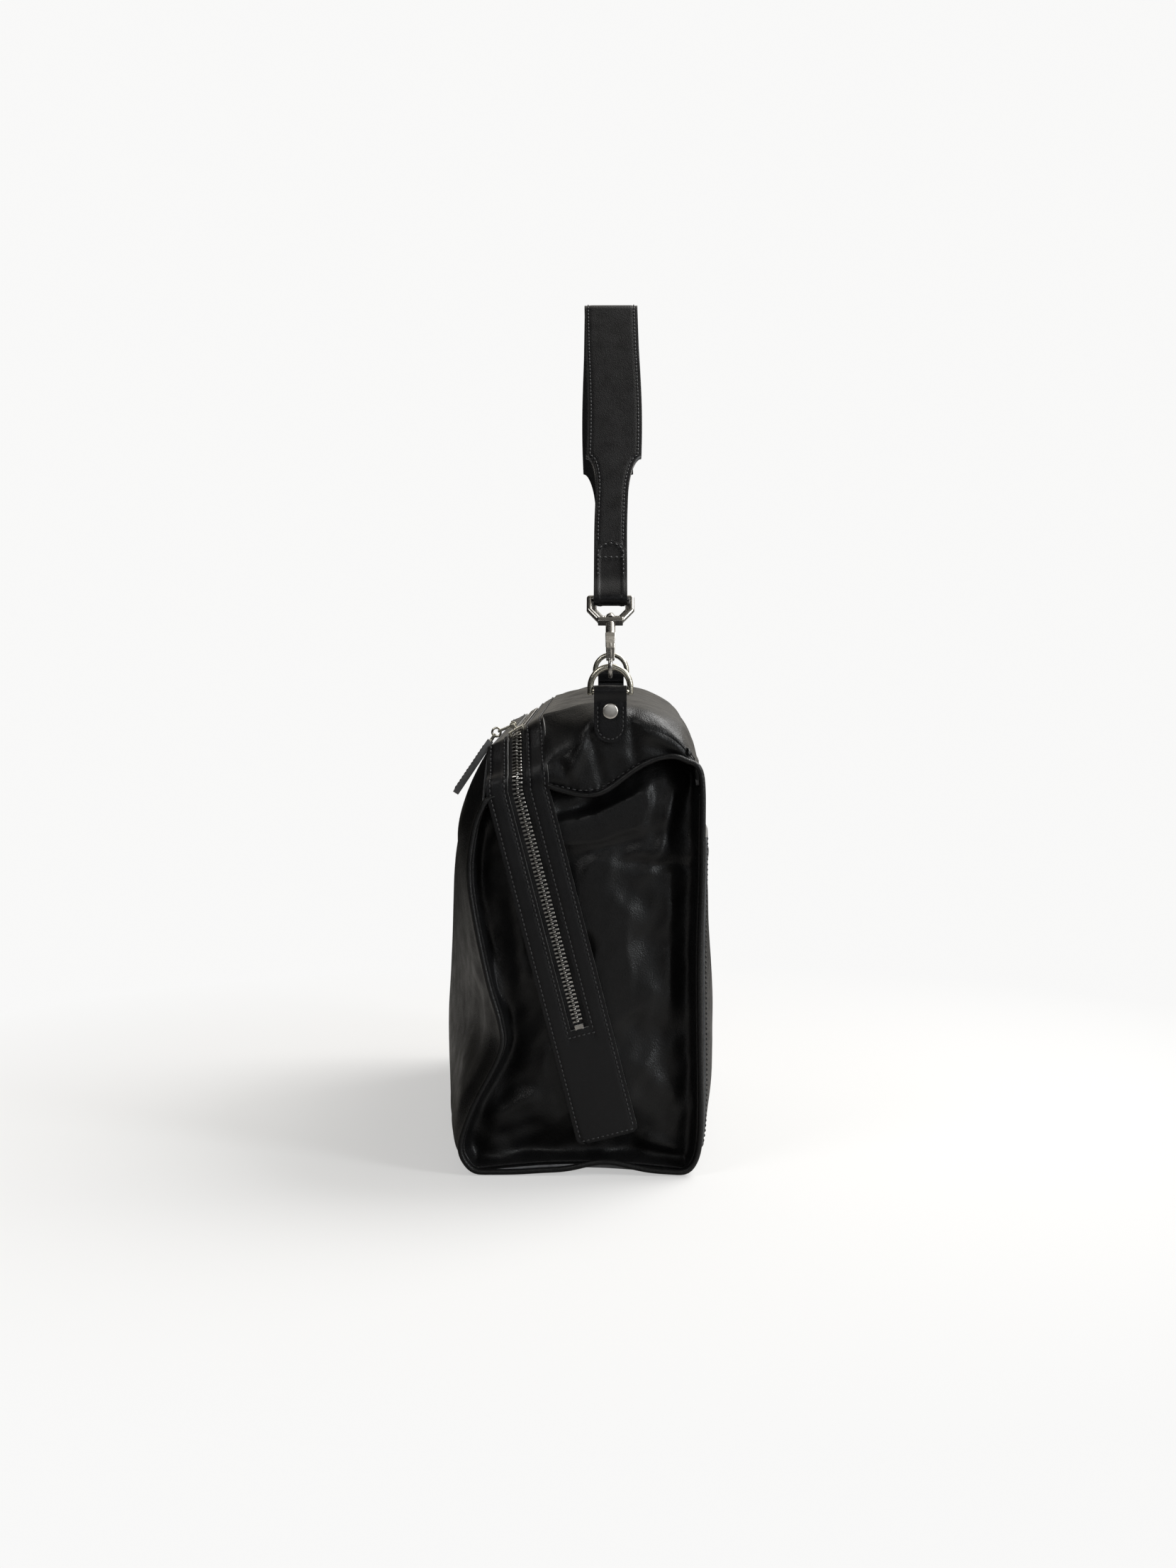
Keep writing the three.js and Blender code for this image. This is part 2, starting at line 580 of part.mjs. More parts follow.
function dRing() {
  const bow = [];
  for (let i = 0; i <= 12; i++) {
    const angle = (Math.PI * i) / 12;
    bow.push(new THREE.Vector3(RING_X, RING_HALF * Math.cos(angle), RING_BOW_Z + RING_HALF * Math.sin(angle)));
  }
  const leg = (side) => new THREE.Vector3(RING_X, side * RING_HALF, RING_LEG_END_Z);
  const wire = tube([leg(1), ...bow, leg(-1)], RING_WIRE, 12, 34);
  const bar = rod(new THREE.Vector3(RING_X, -RING_HALF, RING_BAR_Z),
    new THREE.Vector3(RING_X, RING_HALF, RING_BAR_Z), RING_WIRE - 0.1, RING_WIRE - 0.1, 12);
  return geometryOf(joined(wire, bar));
}

// Folded over the ring's bar and stitched flat to the end flap, with a rounded foot.
function ringTab() {
  const inner = FLAP_X + WALL + 0.4;
  const flat = block([inner, -TAB_WIDTH / 2, TAB_BOTTOM_Z - 5], [inner + TAB_LAYERS, TAB_WIDTH / 2, RING_BAR_Z - 1]);
  const half = TAB_WIDTH / 2;
  const eye = rod(new THREE.Vector3(RING_X, -half, RING_BAR_Z), new THREE.Vector3(RING_X, half, RING_BAR_Z),
    TAB_EYE + 1.3, TAB_EYE + 1.3, 20);
  const bore = rod(new THREE.Vector3(RING_X, -20, RING_BAR_Z), new THREE.Vector3(RING_X, 20, RING_BAR_Z), TAB_EYE);
  const rivetHole = rod(new THREE.Vector3(inner - 5, 0, RIVET_Z), new THREE.Vector3(inner + 9, 0, RIVET_Z), 1.75);
  const outline = [[half, TAB_BOTTOM_Z + 40], [-half, TAB_BOTTOM_Z + 40]];
  for (let i = 0; i <= 10; i++) {
    const angle = Math.PI + (Math.PI * i) / 10;
    outline.push([half * Math.cos(angle), TAB_BOTTOM_Z + half * (1 + Math.sin(angle))]);
  }
  const mask = plateAcrossX(outline, inner - 5, 20);
  return geometryOf(joined(flat, eye).intersect(solid(mask)).subtract(joined(bore, rivetHole)));
}

function tabRivet() {
  const face = FLAP_X + WALL + 0.4 + TAB_LAYERS + 0.35;
  const back = FLAP_X - 0.35;
  const profile = [[0, back - 1.4], [3, back - 1.2], [3, back], [1.4, back], [1.4, face], [4.5, face],
    [4.4, face + 0.8], [3.6, face + 1.5], [2, face + 1.9], [0, face + 2]];
  const turned = new THREE.LatheGeometry(profile.map(([r, h]) => new THREE.Vector2(r, h)), 20);
  turned.rotateZ(-Math.PI / 2);
  return turned.translate(0, 0, RIVET_Z);
}

// ---- Swivel hooks -------------------------------------------------------------------------
// Modelled upright, with the D-ring's wire at the origin and the strap above, then leaned in.

function hookSpine() {
  const geometry = plateAcrossY(SPINE_OUTLINE, 2);
  const place = geometry.attributes.position;
  for (let i = 0; i < place.count; i++) {
    const rise = smoothstep(0, BARREL_LOW, place.getZ(i));
    const half = (SPINE_WIDTH_LOW + (SPINE_WIDTH_HIGH - SPINE_WIDTH_LOW) * rise) / 2;
    place.setY(i, place.getY(i) * half);
  }
  return geometry;
}

function hookBody() {
  const bow = [];
  for (let i = 0; i <= 10; i++) {
    const angle = Math.PI + (Math.PI * i) / 10;
    bow.push(new THREE.Vector3(HOOK_BOW * Math.cos(angle), 0, HOOK_DROP + HOOK_BOW * Math.sin(angle)));
  }
  const spine = [[HOOK_BOW, 8.5], [4.6, 14], [1.8, 18.6], [0, BARREL_LOW + 1.5]];
  const path = [new THREE.Vector3(-HOOK_BOW, 0, 7.2), ...bow, ...spine.map(([x, z]) => new THREE.Vector3(x, 0, z))];
  const wire = tube(path, HOOK_WIRE, 10, 36);
  const barrel = rod(new THREE.Vector3(0, 0, BARREL_LOW), new THREE.Vector3(0, 0, BARREL_HIGH), 2.9);
  const lug = block([-6.4, -2.9, 18.6], [0.2, 2.9, BARREL_LOW + 0.8]);
  const post = rod(new THREE.Vector3(0, 0, BARREL_HIGH - 1), new THREE.Vector3(0, 0, PLATE_HIGH + 1.5), 1.5);
  const head = rod(new THREE.Vector3(0, 0, PLATE_HIGH + 0.4), new THREE.Vector3(0, 0, PLATE_HIGH + 2.8), 3.1, 2.5);
  const slot = block([-9, -1.55, 17], [-1.6, 1.55, BARREL_LOW + 0.9]);
  const [pinX, pinZ] = GATE_PIVOT;
  const pinHole = rod(new THREE.Vector3(pinX, -9, pinZ), new THREE.Vector3(pinX, 9, pinZ), 0.95, 0.95, 12);
  return geometryOf(joined(wire, hookSpine(), barrel, lug, post, head).subtract(joined(slot, pinHole)));
}

// The sprung gate that closes the hook's mouth, with its thumb lobe.
function hookGate() {
  const outline = [[-7.1, 7.7], [-4.8, 7.7], [-3, 14], [-2.6, 19.6], [-3.2, 21.5], [-5, 22],
    [-6, 21], [-7.8, 18.3], [-7.4, 15]];
  const [pinX, pinZ] = GATE_PIVOT;
  const hole = rod(new THREE.Vector3(pinX, -9, pinZ), new THREE.Vector3(pinX, 9, pinZ), 0.95, 0.95, 12);
  return geometryOf(solid(plateAcrossY(outline, 2.4)).subtract(solid(hole)));
}

function gatePin() {
  const [pinX, pinZ] = GATE_PIVOT;
  return rod(new THREE.Vector3(pinX, -2.9, pinZ), new THREE.Vector3(pinX, 2.9, pinZ), 0.6, 0.6, 12);
}

// The frame that holds the strap: bar, two arms, two diagonals and the swivel's plate.
function swivelLoop() {
  const corners = [[-LOOP_HALF, LOOP_BAR], [LOOP_HALF, LOOP_BAR], [LOOP_HALF, 41], [6.4, 33.6],
    [-6.4, 33.6], [-LOOP_HALF, 41]].map(([y, z]) => new THREE.Vector3(0, y, z));
  const sides = corners.map((corner, i) => rod(corner, corners[(i + 1) % corners.length], LOOP_WIRE, LOOP_WIRE, 12));
  const knuckles = corners.map((corner) => (
    new THREE.SphereGeometry(LOOP_WIRE, 12, 8).translate(corner.x, corner.y, corner.z)));
  const plate = block([-2.6, -7.4, PLATE_LOW], [2.6, 7.4, PLATE_HIGH]);
  const hole = rod(new THREE.Vector3(0, 0, 25), new THREE.Vector3(0, 0, 39), 1.95);
  const clearHead = rod(new THREE.Vector3(0, 0, PLATE_HIGH), new THREE.Vector3(0, 0, 39), 4);
  const clearBarrel = rod(new THREE.Vector3(0, 0, 28), new THREE.Vector3(0, 0, PLATE_LOW), 3.6);
  return geometryOf(joined(...sides, ...knuckles, plate).subtract(joined(hole, clearHead, clearBarrel)));
}

function addHook(end, parent) {
  const leaning = new THREE.Group();
  leaning.position.set(RING_X, 0, RING_BOW_Z + RING_HALF);
  leaning.rotation.y = -HOOK_LEAN;
  parent.add(leaning);
  addPiece(`hook_${end}`, hookBody(), GUNMETAL, leaning);
  addPiece(`hook_gate_${end}`, hookGate(), GUNMETAL, leaning);
  addPiece(`gate_pin_${end}`, gatePin(), NICKEL, leaning);
  addPiece(`swivel_loop_${end}`, swivelLoop(), GUNMETAL, leaning);
}

// ---- Shoulder strap -----------------------------------------------------------------------

const strapUp = new THREE.Vector2(-Math.sin(HOOK_LEAN), Math.cos(HOOK_LEAN));   // near side, in [x, z]
const strapOut = new THREE.Vector2(Math.cos(HOOK_LEAN), Math.sin(HOOK_LEAN));
const loopBar = new THREE.Vector2(RING_X, RING_BOW_Z + RING_HALF).addScaledVector(strapUp, LOOP_BAR);
const cornerAlong = loopBar.x / Math.sin(HOOK_LEAN);        // loop bar to where the two sides meet

// Narrow at the hooks, widening in a concave curve to a squared shoulder.
function strapWidth(along) {
  const u = Math.min(Math.max((along - TAPER_START) / (SHOULDER - TAPER_START), 0), 1);
  return STRAP_NARROW + (STRAP_WIDE - STRAP_NARROW) * (1 - Math.sqrt(1 - u * u));
}

// The near half of a strap layer's middle line: points, outward normals and widths.
function strapHalf(offset, start) {
  const list = [];
  const push = (along, out, normal = strapOut) => {
    const p = loopBar.clone().addScaledVector(strapUp, along).addScaledVector(strapOut, out);
    list.push({ p, normal: normal.clone(), width: strapWidth(along) });
  };
  for (const along of [start, 40, 62, TAPER_START, 88, 94, 99, 103, 106.5, 109, 110.3, SHOULDER, 135, 165, 195]) {
    if (along >= start) {
      push(along, offset);
    }
  }
  // The fold over the top: an arc between the two straight sides, shared by every layer.
  const centreAlong = cornerAlong - APEX_RADIUS * Math.tan(Math.PI / 2 - HOOK_LEAN);
  const centre = loopBar.clone().addScaledVector(strapUp, centreAlong).addScaledVector(strapOut, -APEX_RADIUS);
  centre.x = 0;
  const startAngle = Math.atan2(strapOut.y, strapOut.x);
  for (let i = 0; i <= 5; i++) {
    const angle = startAngle + ((Math.PI / 2 - startAngle) * i) / 5;
    const normal = new THREE.Vector2(Math.cos(angle), Math.sin(angle));
    list.push({ p: centre.clone().addScaledVector(normal, APEX_RADIUS + offset), normal, width: STRAP_WIDE });
  }
  return list;
}

// The folded end: a tongue on the outside, round the loop's bar, and back inside.
function foldedEnd(offset) {
  const list = [];
  const radius = LOOP_WIRE + 0.4 + STRAP_LAYER / 2;
  const push = (along, out, normal, width = STRAP_NARROW) => {
    const p = loopBar.clone().addScaledVector(strapUp, along).addScaledVector(strapOut, out);
    list.push({ p, normal, width });
  };
  const inward = strapOut.clone().negate();
  for (const [back, width] of [[0, 9], [1.2, 13], [3.2, 16.6], [6.5, 19.2], [10, STRAP_NARROW]]) {
    push(TONGUE_LENGTH - back, offset, inward, width);
  }
  push(14, offset, inward);
  push(5, radius * 0.92, inward);
  for (let i = 0; i <= 8; i++) {
    const angle = (Math.PI * i) / 8;
    const normal = strapOut.clone().multiplyScalar(-Math.cos(angle)).addScaledVector(strapUp, Math.sin(angle));
    push(-radius * Math.sin(angle), radius * Math.cos(angle), normal);
  }
  push(5, -radius * 0.92, strapOut);
  return list;
}

function strapLayer(half, thick) {
  const far = half.slice(0, -1).reverse().map(({ p, normal, width }) => (
    { p: new THREE.Vector2(-p.x, p.y), normal: new THREE.Vector2(-normal.x, normal.y), width }));
  const whole = [...half, ...far];
  const sheet = (level) => whole.map(({ p, normal, width }) => (
    [-1, 1].map((side) => new THREE.Vector3(p.x + normal.x * level, (side * width) / 2, p.y + normal.y * level))));
  return slab(sheet(thick / 2), sheet(-thick / 2));
}

function addStrap() {
  const layerOffset = STRAP_LAYER / 2 + 0.2;
  const outer = [...foldedEnd(layerOffset), ...strapHalf(-layerOffset, 14)];
  addPiece("shoulder_strap", strapLayer(outer, STRAP_LAYER), BLACK_LEATHER);
  const liningOffset = -layerOffset - STRAP_LAYER / 2 - 0.35 - LINING_LAYER / 2;
  addPiece("strap_lining", strapLayer(strapHalf(liningOffset, 16), LINING_LAYER), EDGE_LEATHER);
}

// ---- Assembly -----------------------------------------------------------------------------

addPiece("front_panel", panel(frontAt, -1, BODY_HALF, 17, 22), BLACK_LEATHER);
addPiece("back_panel", panel(backAt, 1, BODY_HALF, 13, 14), BLACK_LEATHER);
addPiece("top_panel", panel(topAt, -1, TOP_END, 17, 12), BLACK_LEATHER);
addPiece("base_panel", basePanel(), BLACK_LEATHER);
addPiece("base_board", baseBoard(), BOARD);
addPiece("lining", liningSheet(), LINING_CLOTH);
addPiece("back_pocket", backPocket(), BLACK_LEATHER);
addEndPair("end_gusset", endGusset(), BLACK_LEATHER);
addEndPair("end_flap", endFlap(), BLACK_LEATHER);
addEndPair("rim", endRim(), EDGE_LEATHER);
addZip();
addSlider();
addEndPair("d_ring", dRing(), GUNMETAL);
addEndPair("ring_tab", ringTab(), BLACK_LEATHER);
addEndPair("tab_rivet", tabRivet(), NICKEL);
addHook("near", group);
const farEnd = new THREE.Group();
farEnd.rotation.z = Math.PI;
group.add(farEnd);
addHook("far", farEnd);
addStrap();

export default group;
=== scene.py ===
"""The looks of a soft black leather zip-top bag with a clip-on strap, built round its CAD frame.

X runs along the bag, -Y is the front (the zip side), +Z is up. Shapes are worked out in
millimetres, as in the CAD, and turned to metres when a mesh is made.
"""
import math

import bmesh
import bpy
import numpy as np
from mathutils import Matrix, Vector


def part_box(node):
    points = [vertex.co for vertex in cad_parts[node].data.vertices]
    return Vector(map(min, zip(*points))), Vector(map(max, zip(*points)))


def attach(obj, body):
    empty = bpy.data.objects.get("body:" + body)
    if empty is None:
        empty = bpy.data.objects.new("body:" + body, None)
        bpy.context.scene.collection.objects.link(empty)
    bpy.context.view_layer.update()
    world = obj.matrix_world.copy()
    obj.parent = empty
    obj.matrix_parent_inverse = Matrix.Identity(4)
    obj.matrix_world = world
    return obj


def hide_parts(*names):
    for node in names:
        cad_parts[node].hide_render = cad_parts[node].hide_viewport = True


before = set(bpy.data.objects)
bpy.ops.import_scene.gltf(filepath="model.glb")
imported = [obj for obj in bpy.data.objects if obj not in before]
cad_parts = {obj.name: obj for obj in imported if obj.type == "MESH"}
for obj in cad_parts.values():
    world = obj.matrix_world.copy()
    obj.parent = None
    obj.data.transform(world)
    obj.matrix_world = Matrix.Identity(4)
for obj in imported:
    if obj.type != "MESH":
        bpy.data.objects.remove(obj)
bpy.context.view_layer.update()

MM = 0.001
ENDS = ((1, "near"), (-1, "far"))
MIRROR = np.array([-1, 1, 1])


# ---- Driving dimensions, in millimetres, from the CAD nodes ---------------------------------

def node_box(node):
    low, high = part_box(node)
    return np.array(low) / MM, np.array(high) / MM


BODY_HALF = node_box("front_panel")[1][0]
CORNER_START = 150
BULGE_POWER = 1.55
WALL = 2.2
BASE_LIFT = 4.5
RIM_X = BODY_HALF + 1.6
RING_X = float(np.mean([edge[0] for edge in node_box("d_ring_near")]))
RING_TOP = node_box("d_ring_near")[1][2]
RING_WIRE = 1.8
RING_HALF = 11.6
RING_BOW_Z = RING_TOP - RING_WIRE - RING_HALF
RING_BAR_Z = 287
RING_LEG_END_Z = node_box("d_ring_near")[0][2]
TAB_LOW, TAB_HIGH = node_box("ring_tab_near")
RIVET_Z = float(np.mean([edge[2] for edge in node_box("tab_rivet_near")]))
RIVET_FACE = node_box("tab_rivet_near")[1][0]

STRIP_WIDTH = 37
STRIP_SLOPE = math.radians(31)
STRIP_Y, STRIP_Z = -56, 262
STRIP_RUN = 152
STRIP_END_X = 176.3
STRIP_THICK = 2.0
WINDOW_HALF = 5.6
WINDOW_END_Z = 86
TOOTH_PITCH = 2.5

HOOK_LEAN = math.atan2(0.6, 0.8)
LOOP_BAR = 49.8
LOOP_WIRE = 1.9
STRAP_NARROW, STRAP_WIDE = 20, 34.5
STRAP_LAYER = 2.2
LINING_LAYER = 1.2
TAPER_START, SHOULDER = 81, 111
TONGUE_LENGTH = 42
APEX_RADIUS = 8

FRONT_END = [(-79, .4), (-86.5, 7), (-89.8, 18), (-82, 41), (-66, 73), (-66, 91), (-73.7, 119),
             (-83.6, 173), (-81, 205), (-75.5, 220)]
FRONT_MID = [(-94, .4), (-102, 6), (-106.5, 20), (-107.5, 51), (-107, 80), (-106.5, 110),
             (-105.5, 140), (-101, 180), (-90, 219), (-73, 251)]
BACK_END = [(43, .4), (49, 4.4), (53.5, 15.5), (54.8, 40), (54, 90), (53.8, 133), (55, 180), (55.3, 236)]
BACK_MID = [(50, .4), (54.5, 5), (57, 16), (57.5, 40), (57.5, 90), (57.5, 133), (57.5, 185), (56, 241)]
TOP_END_LINE = [(-38, 246), (-27, 258), (-16, 270), (-4, 276.5), (10, 277.5), (24, 273), (37, 264),
                (46, 252.5), (50.5, 244)]
TOP_MID_LINE = [(-40, 272.2), (-27, 276), (-10, 279), (6, 279.4), (20, 277.6), (33, 273.4), (43, 267),
                (49, 257), (52.4, 245)]
HEM_LINE = [(-40, 233), (-27, 228.5), (-14.7, 226), (-4, 228), (6, 235), (18, 243.5), (31, 248.6),
            (42, 248), (52, 240)]


# ---- Curves and grids -----------------------------------------------------------------------

def spline(points):
    """A smooth curve through the points, for t from 0 to 1."""
    pts = np.array(points, float)
    last = len(pts) - 1

    def at(t):
        place = np.clip(np.asarray(t, float), 0, 1) * last
        i = np.minimum(np.floor(place).astype(int), last - 1)
        w = (place - i)[..., None]
        p0, p1 = pts[np.maximum(i - 1, 0)], pts[i]
        p2, p3 = pts[i + 1], pts[np.minimum(i + 2, last)]
        v0, v1 = (p2 - p0) / 2, (p3 - p1) / 2
        return (2 * p1 - 2 * p2 + v0 + v1) * w ** 3 + (3 * p2 - 3 * p1 - 2 * v0 - v1) * w ** 2 + v0 * w + p1

    return at


def smoothstep(low, high, value):
    t = np.clip((np.asarray(value, float) - low) / (high - low), 0, 1)
    return t * t * (3 - 2 * t)


def side_bulge(x):
    return 1 - np.minimum(np.abs(x) / BODY_HALF, 1) ** BULGE_POWER


def top_corner(x):
    return 1 - smoothstep(CORNER_START, BODY_HALF, np.abs(x))


def blended(end_points, mid_points, weight_at):
    end, mid = spline(end_points), spline(mid_points)

    def at(x, t):
        w = weight_at(x, t)[..., None]
        return end(t) * (1 - w) + mid(t) * w

    return at


def front_weight(x, t):
    high = smoothstep(0.72, 0.98, t)
    return side_bulge(x) * (1 - high) + top_corner(x) * high


front_at = blended(FRONT_END, FRONT_MID, front_weight)
back_at = blended(BACK_END, BACK_MID, lambda x, t: side_bulge(x) + 0 * t)


def unit(v):
    return v / np.maximum(np.linalg.norm(v, axis=-1, keepdims=True), 1e-9)


def grid_normals(grid):
    along = np.gradient(grid, axis=0)
    across = np.gradient(grid, axis=1)
    return unit(np.cross(along, across))


def middle_normal(grid):
    return grid_normals(grid)[grid.shape[0] // 2, grid.shape[1] // 2]


def resample(points, count=None, step=None):
    """The same polyline with evenly spaced points."""
    points = np.asarray(points, float)
    lengths = np.concatenate([[0], np.cumsum(np.linalg.norm(np.diff(points, axis=0), axis=1))])
    count = count or max(2, int(round(lengths[-1] / step)) + 1)
    places = np.linspace(0, lengths[-1], count)
    return np.stack([np.interp(places, lengths, points[:, k]) for k in range(points.shape[1])], axis=1)


def eased(line, rounds):
    """The line with its corners softened; its ends stay."""
    for _ in range(rounds):
        line[1:-1] = (line[:-2] + 2 * line[1:-1] + line[2:]) / 4
    return line


def polyline_length(points):
    return float(np.sum(np.linalg.norm(np.diff(points, axis=0), axis=1)))


def ridge(y, z, start, end, width, height, fade=0.25):
    """A soft fold along a line from start to end, as a height at each (y, z)."""
    a, b = np.array(start, float), np.array(end, float)
    line = b - a
    length = np.linalg.norm(line)
    along = ((y - a[0]) * line[0] + (z - a[1]) * line[1]) / length ** 2
    off = ((y - a[0]) * -line[1] + (z - a[1]) * line[0]) / length
    ends = smoothstep(-fade, fade, along) * (1 - smoothstep(1 - fade, 1 + fade, along))
    return height * ends * np.exp(-(off / width) ** 2)


def folded(y, z, folds):
    """The heights of several soft folds, each (start, end, width, height)."""
    return sum(ridge(y, z, *fold) for fold in folds)


def ripple(u, v, seed, scale, count=14):
    """Gentle irregular unevenness: a seeded sum of sines, from about -1 to 1."""
    rng = np.random.RandomState(seed)
    total = np.zeros_like(u, float)
    for _ in range(count):
        angle = rng.uniform(0, math.pi)
        wave = scale * rng.uniform(0.6, 1.7)
        phase = rng.uniform(0, 2 * math.pi)
        total += np.sin((u * math.cos(angle) + v * math.sin(angle)) * 2 * math.pi / wave + phase)
    return total / math.sqrt(count)


# ---- Mesh makers ----------------------------------------------------------------------------

def new_object(name, verts, faces, materials, smooth=True, face_materials=None):
    mesh = bpy.data.meshes.new(name)
    mesh.from_pydata((np.asarray(verts, float) * MM).tolist(), [], [list(map(int, f)) for f in faces])
    mesh.validate()
    for material in materials:
        mesh.materials.append(material)
    if face_materials is not None:
        mesh.polygons.foreach_set("material_index", np.asarray(face_materials, np.int32))
    mesh.polygons.foreach_set("use_smooth", [smooth] * len(mesh.polygons))
    obj = bpy.data.objects.new(name, mesh)
    bpy.context.scene.collection.objects.link(obj)
    return obj


def grid_faces(rows, cols, keep=None, wrap=False):
    i, j = np.meshgrid(np.arange(rows - 1), np.arange(cols if wrap else cols - 1), indexing="ij")
    k = (j + 1) % cols
    faces = np.stack([i * cols + j, i * cols + k, (i + 1) * cols + k, (i + 1) * cols + j], axis=-1)
    if keep is not None:
        return faces[keep].reshape(-1, 4)
    return faces.reshape(-1, 4)


def apply_modifiers(obj):
    bpy.context.view_layer.update()
    evaluated = obj.evaluated_get(bpy.context.evaluated_depsgraph_get())
    mesh = bpy.data.meshes.new_from_object(evaluated)
    obj.modifiers.clear()
    old = obj.data
    obj.data = mesh
    bpy.data.meshes.remove(old)
    return obj


def leather_sheet(name, grid, outside, face, thick=WALL, keep=None, edge=None, bevel=0.45):
    """A sheet with rounded edges; the grid is its outer face, which looks to `outside`."""
    if np.dot(middle_normal(grid), outside) > 0:      # grid_faces winds a face against grid_normals
        grid = grid[::-1]
        keep = None if keep is None else keep[::-1]
    rows, cols = grid.shape[:2]
    # Cut edges default to the edge paint, whose grey is partly a painted highlight.
    obj = new_object(name, grid.reshape(-1, 3), grid_faces(rows, cols, keep), [face, edge or EDGE_PAINT_AND_HIGHLIGHT])
    bm = bmesh.new()
    bm.from_mesh(obj.data)
    loose = [v for v in bm.verts if not v.link_faces]
    bmesh.ops.delete(bm, geom=loose, context="VERTS")
    bm.to_mesh(obj.data)
    bm.free()
    solid = obj.modifiers.new("thickness", "SOLIDIFY")
    solid.thickness = thick * MM
    solid.offset = -1
    solid.material_offset_rim = 1
    rounding = obj.modifiers.new("rounding", "BEVEL")
    rounding.width = bevel * MM
    rounding.segments = 2
    rounding.limit_method = "ANGLE"
    rounding.angle_limit = math.radians(50)
    return apply_modifiers(obj)


def tube_faces(rings, sides):
    """Faces of a tube made of rings of points, closed by a cap at each end."""
    last = (rings - 1) * sides
    caps = [list(range(sides))[::-1], list(range(last, last + sides))]
    return grid_faces(rings, sides, wrap=True).tolist() + caps


def sweep(name, path, section, material, up, scales=None):
    """A closed section carried along a path; section is [(across, out), ...]."""
    path = np.asarray(path, float)
    tangent = unit(np.gradient(path, axis=0))
    side = unit(np.cross(tangent, np.array(up, float)))
    out = unit(np.cross(side, tangent))
    scales = np.ones(len(path)) if scales is None else np.asarray(scales, float)
    section = np.asarray(section, float)[None] * scales[:, None, None]
    rings = path[:, None] + side[:, None] * section[..., :1] + out[:, None] * section[..., 1:]
    return outward(new_object(name, rings.reshape(-1, 3), tube_faces(*rings.shape[:2]), [material]))


def outward(obj):
    bm = bmesh.new()
    bm.from_mesh(obj.data)
    bmesh.ops.recalc_face_normals(bm, faces=bm.faces)
    bm.to_mesh(obj.data)
    bm.free()
    return obj


def circle(radius, sides):
    angles = np.arange(sides) * 2 * math.pi / sides
    return np.stack([radius * np.cos(angles), radius * np.sin(angles)], axis=1)


def lathe(name, profile, axis_point, axis, material, sides=48):
    """A turned piece: profile is [(radius, height), ...] about an axis."""
    axis = unit(np.array(axis, float))
    helper = np.array([0, 1, 0.0]) if abs(axis[1]) < 0.9 else np.array([1, 0, 0.0])
    a = unit(np.cross(axis, helper))
    b = np.cross(axis, a)
    angles = np.arange(sides) * 2 * math.pi / sides
    spokes = np.cos(angles)[:, None] * a + np.sin(angles)[:, None] * b
    verts = np.concatenate([np.array(axis_point) + axis * h + r * spokes for r, h in profile])
    return outward(new_object(name, verts, tube_faces(len(profile), sides), [material]))


def joined(name, pieces):
    bpy.ops.object.select_all(action="DESELECT")
    for piece in pieces:
        piece.select_set(True)
    bpy.context.view_layer.objects.active = pieces[0]
    bpy.ops.object.join()
    pieces[0].name = name
    return pieces[0]


def stitch_rows(name, rows, material, pitch=3.1, length=2.5, radius=0.4):
    """Thread along rows of (points, normals): rounded stitches whose ends dive into the leather."""
    sides, rings = 6, 5
    angles = np.arange(sides) * 2 * math.pi / sides
    u = np.linspace(-1, 1, rings)[:, None]
    size = radius * np.sqrt(np.maximum(1 - np.abs(u) ** 3, 0.03))
    lift = radius * (0.75 - 1.5 * u * u)
    stitch = np.stack([u * length / 2 + 0 * angles, 1.15 * size * np.cos(angles),
                       lift + size * np.sin(angles)], axis=-1).reshape(-1, 3)
    shape = np.array(tube_faces(rings, sides)[:-2])
    caps = np.array(tube_faces(rings, sides)[-2:])
    verts, faces = [], []
    for points, normals in rows:
        data = resample(np.concatenate([points, normals], axis=1), step=0.5)
        data[:, 3:] = unit(data[:, 3:])
        lengths = np.concatenate([[0], np.cumsum(np.linalg.norm(np.diff(data[:, :3], axis=0), axis=1))])
        count = int(lengths[-1] // pitch)
        middles = (np.arange(count) + 0.5) * lengths[-1] / max(count, 1)
        centre, ahead, behind = (
            np.stack([np.interp(middles + shift, lengths, data[:, c]) for c in range(6)], axis=1)
            for shift in (0, 1, -1))
        normal = unit(centre[:, 3:])
        tangent = unit(ahead[:, :3] - behind[:, :3])
        side = unit(np.cross(tangent, normal))
        frames = np.stack([tangent, side, normal], axis=1)
        for spot, turned in zip(centre[:, :3], frames):
            base = len(verts) * len(stitch)
            verts.append(spot + stitch @ turned)
            faces += (shape + base).tolist() + (caps + base).tolist()
    return outward(new_object(name, np.concatenate(verts), faces, [material]))


def stitch_row(line, normal):
    """A row of stitches that all look the same way."""
    return np.asarray(line), np.tile(np.array(normal, float), (len(line), 1))


def cast_copy(node, name, material, voxel=0.25, rounds=6):
    """A CAD node with its facets and sharp corners softened, as on a polished casting."""
    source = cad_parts[node]
    mesh = source.data.copy()
    mesh.materials.clear()
    mesh.materials.append(material)
    obj = bpy.data.objects.new(name, mesh)
    bpy.context.scene.collection.objects.link(obj)
    remesh = obj.modifiers.new("remesh", "REMESH")
    remesh.mode = "VOXEL"
    remesh.voxel_size = voxel * MM
    remesh.use_smooth_shade = True
    smooth = obj.modifiers.new("smooth", "SMOOTH")
    smooth.factor = 0.5
    smooth.iterations = rounds
    apply_modifiers(obj)
    obj.data.polygons.foreach_set("use_smooth", [True] * len(obj.data.polygons))
    return obj


def place(obj, body, slot, *nodes):
    """Rides obj on its body and hides the CAD nodes that it stands for. The slot is not used."""
    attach(obj, body)
    if nodes:
        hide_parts(*nodes)
    return obj


# ---- Materials ------------------------------------------------------------------------------

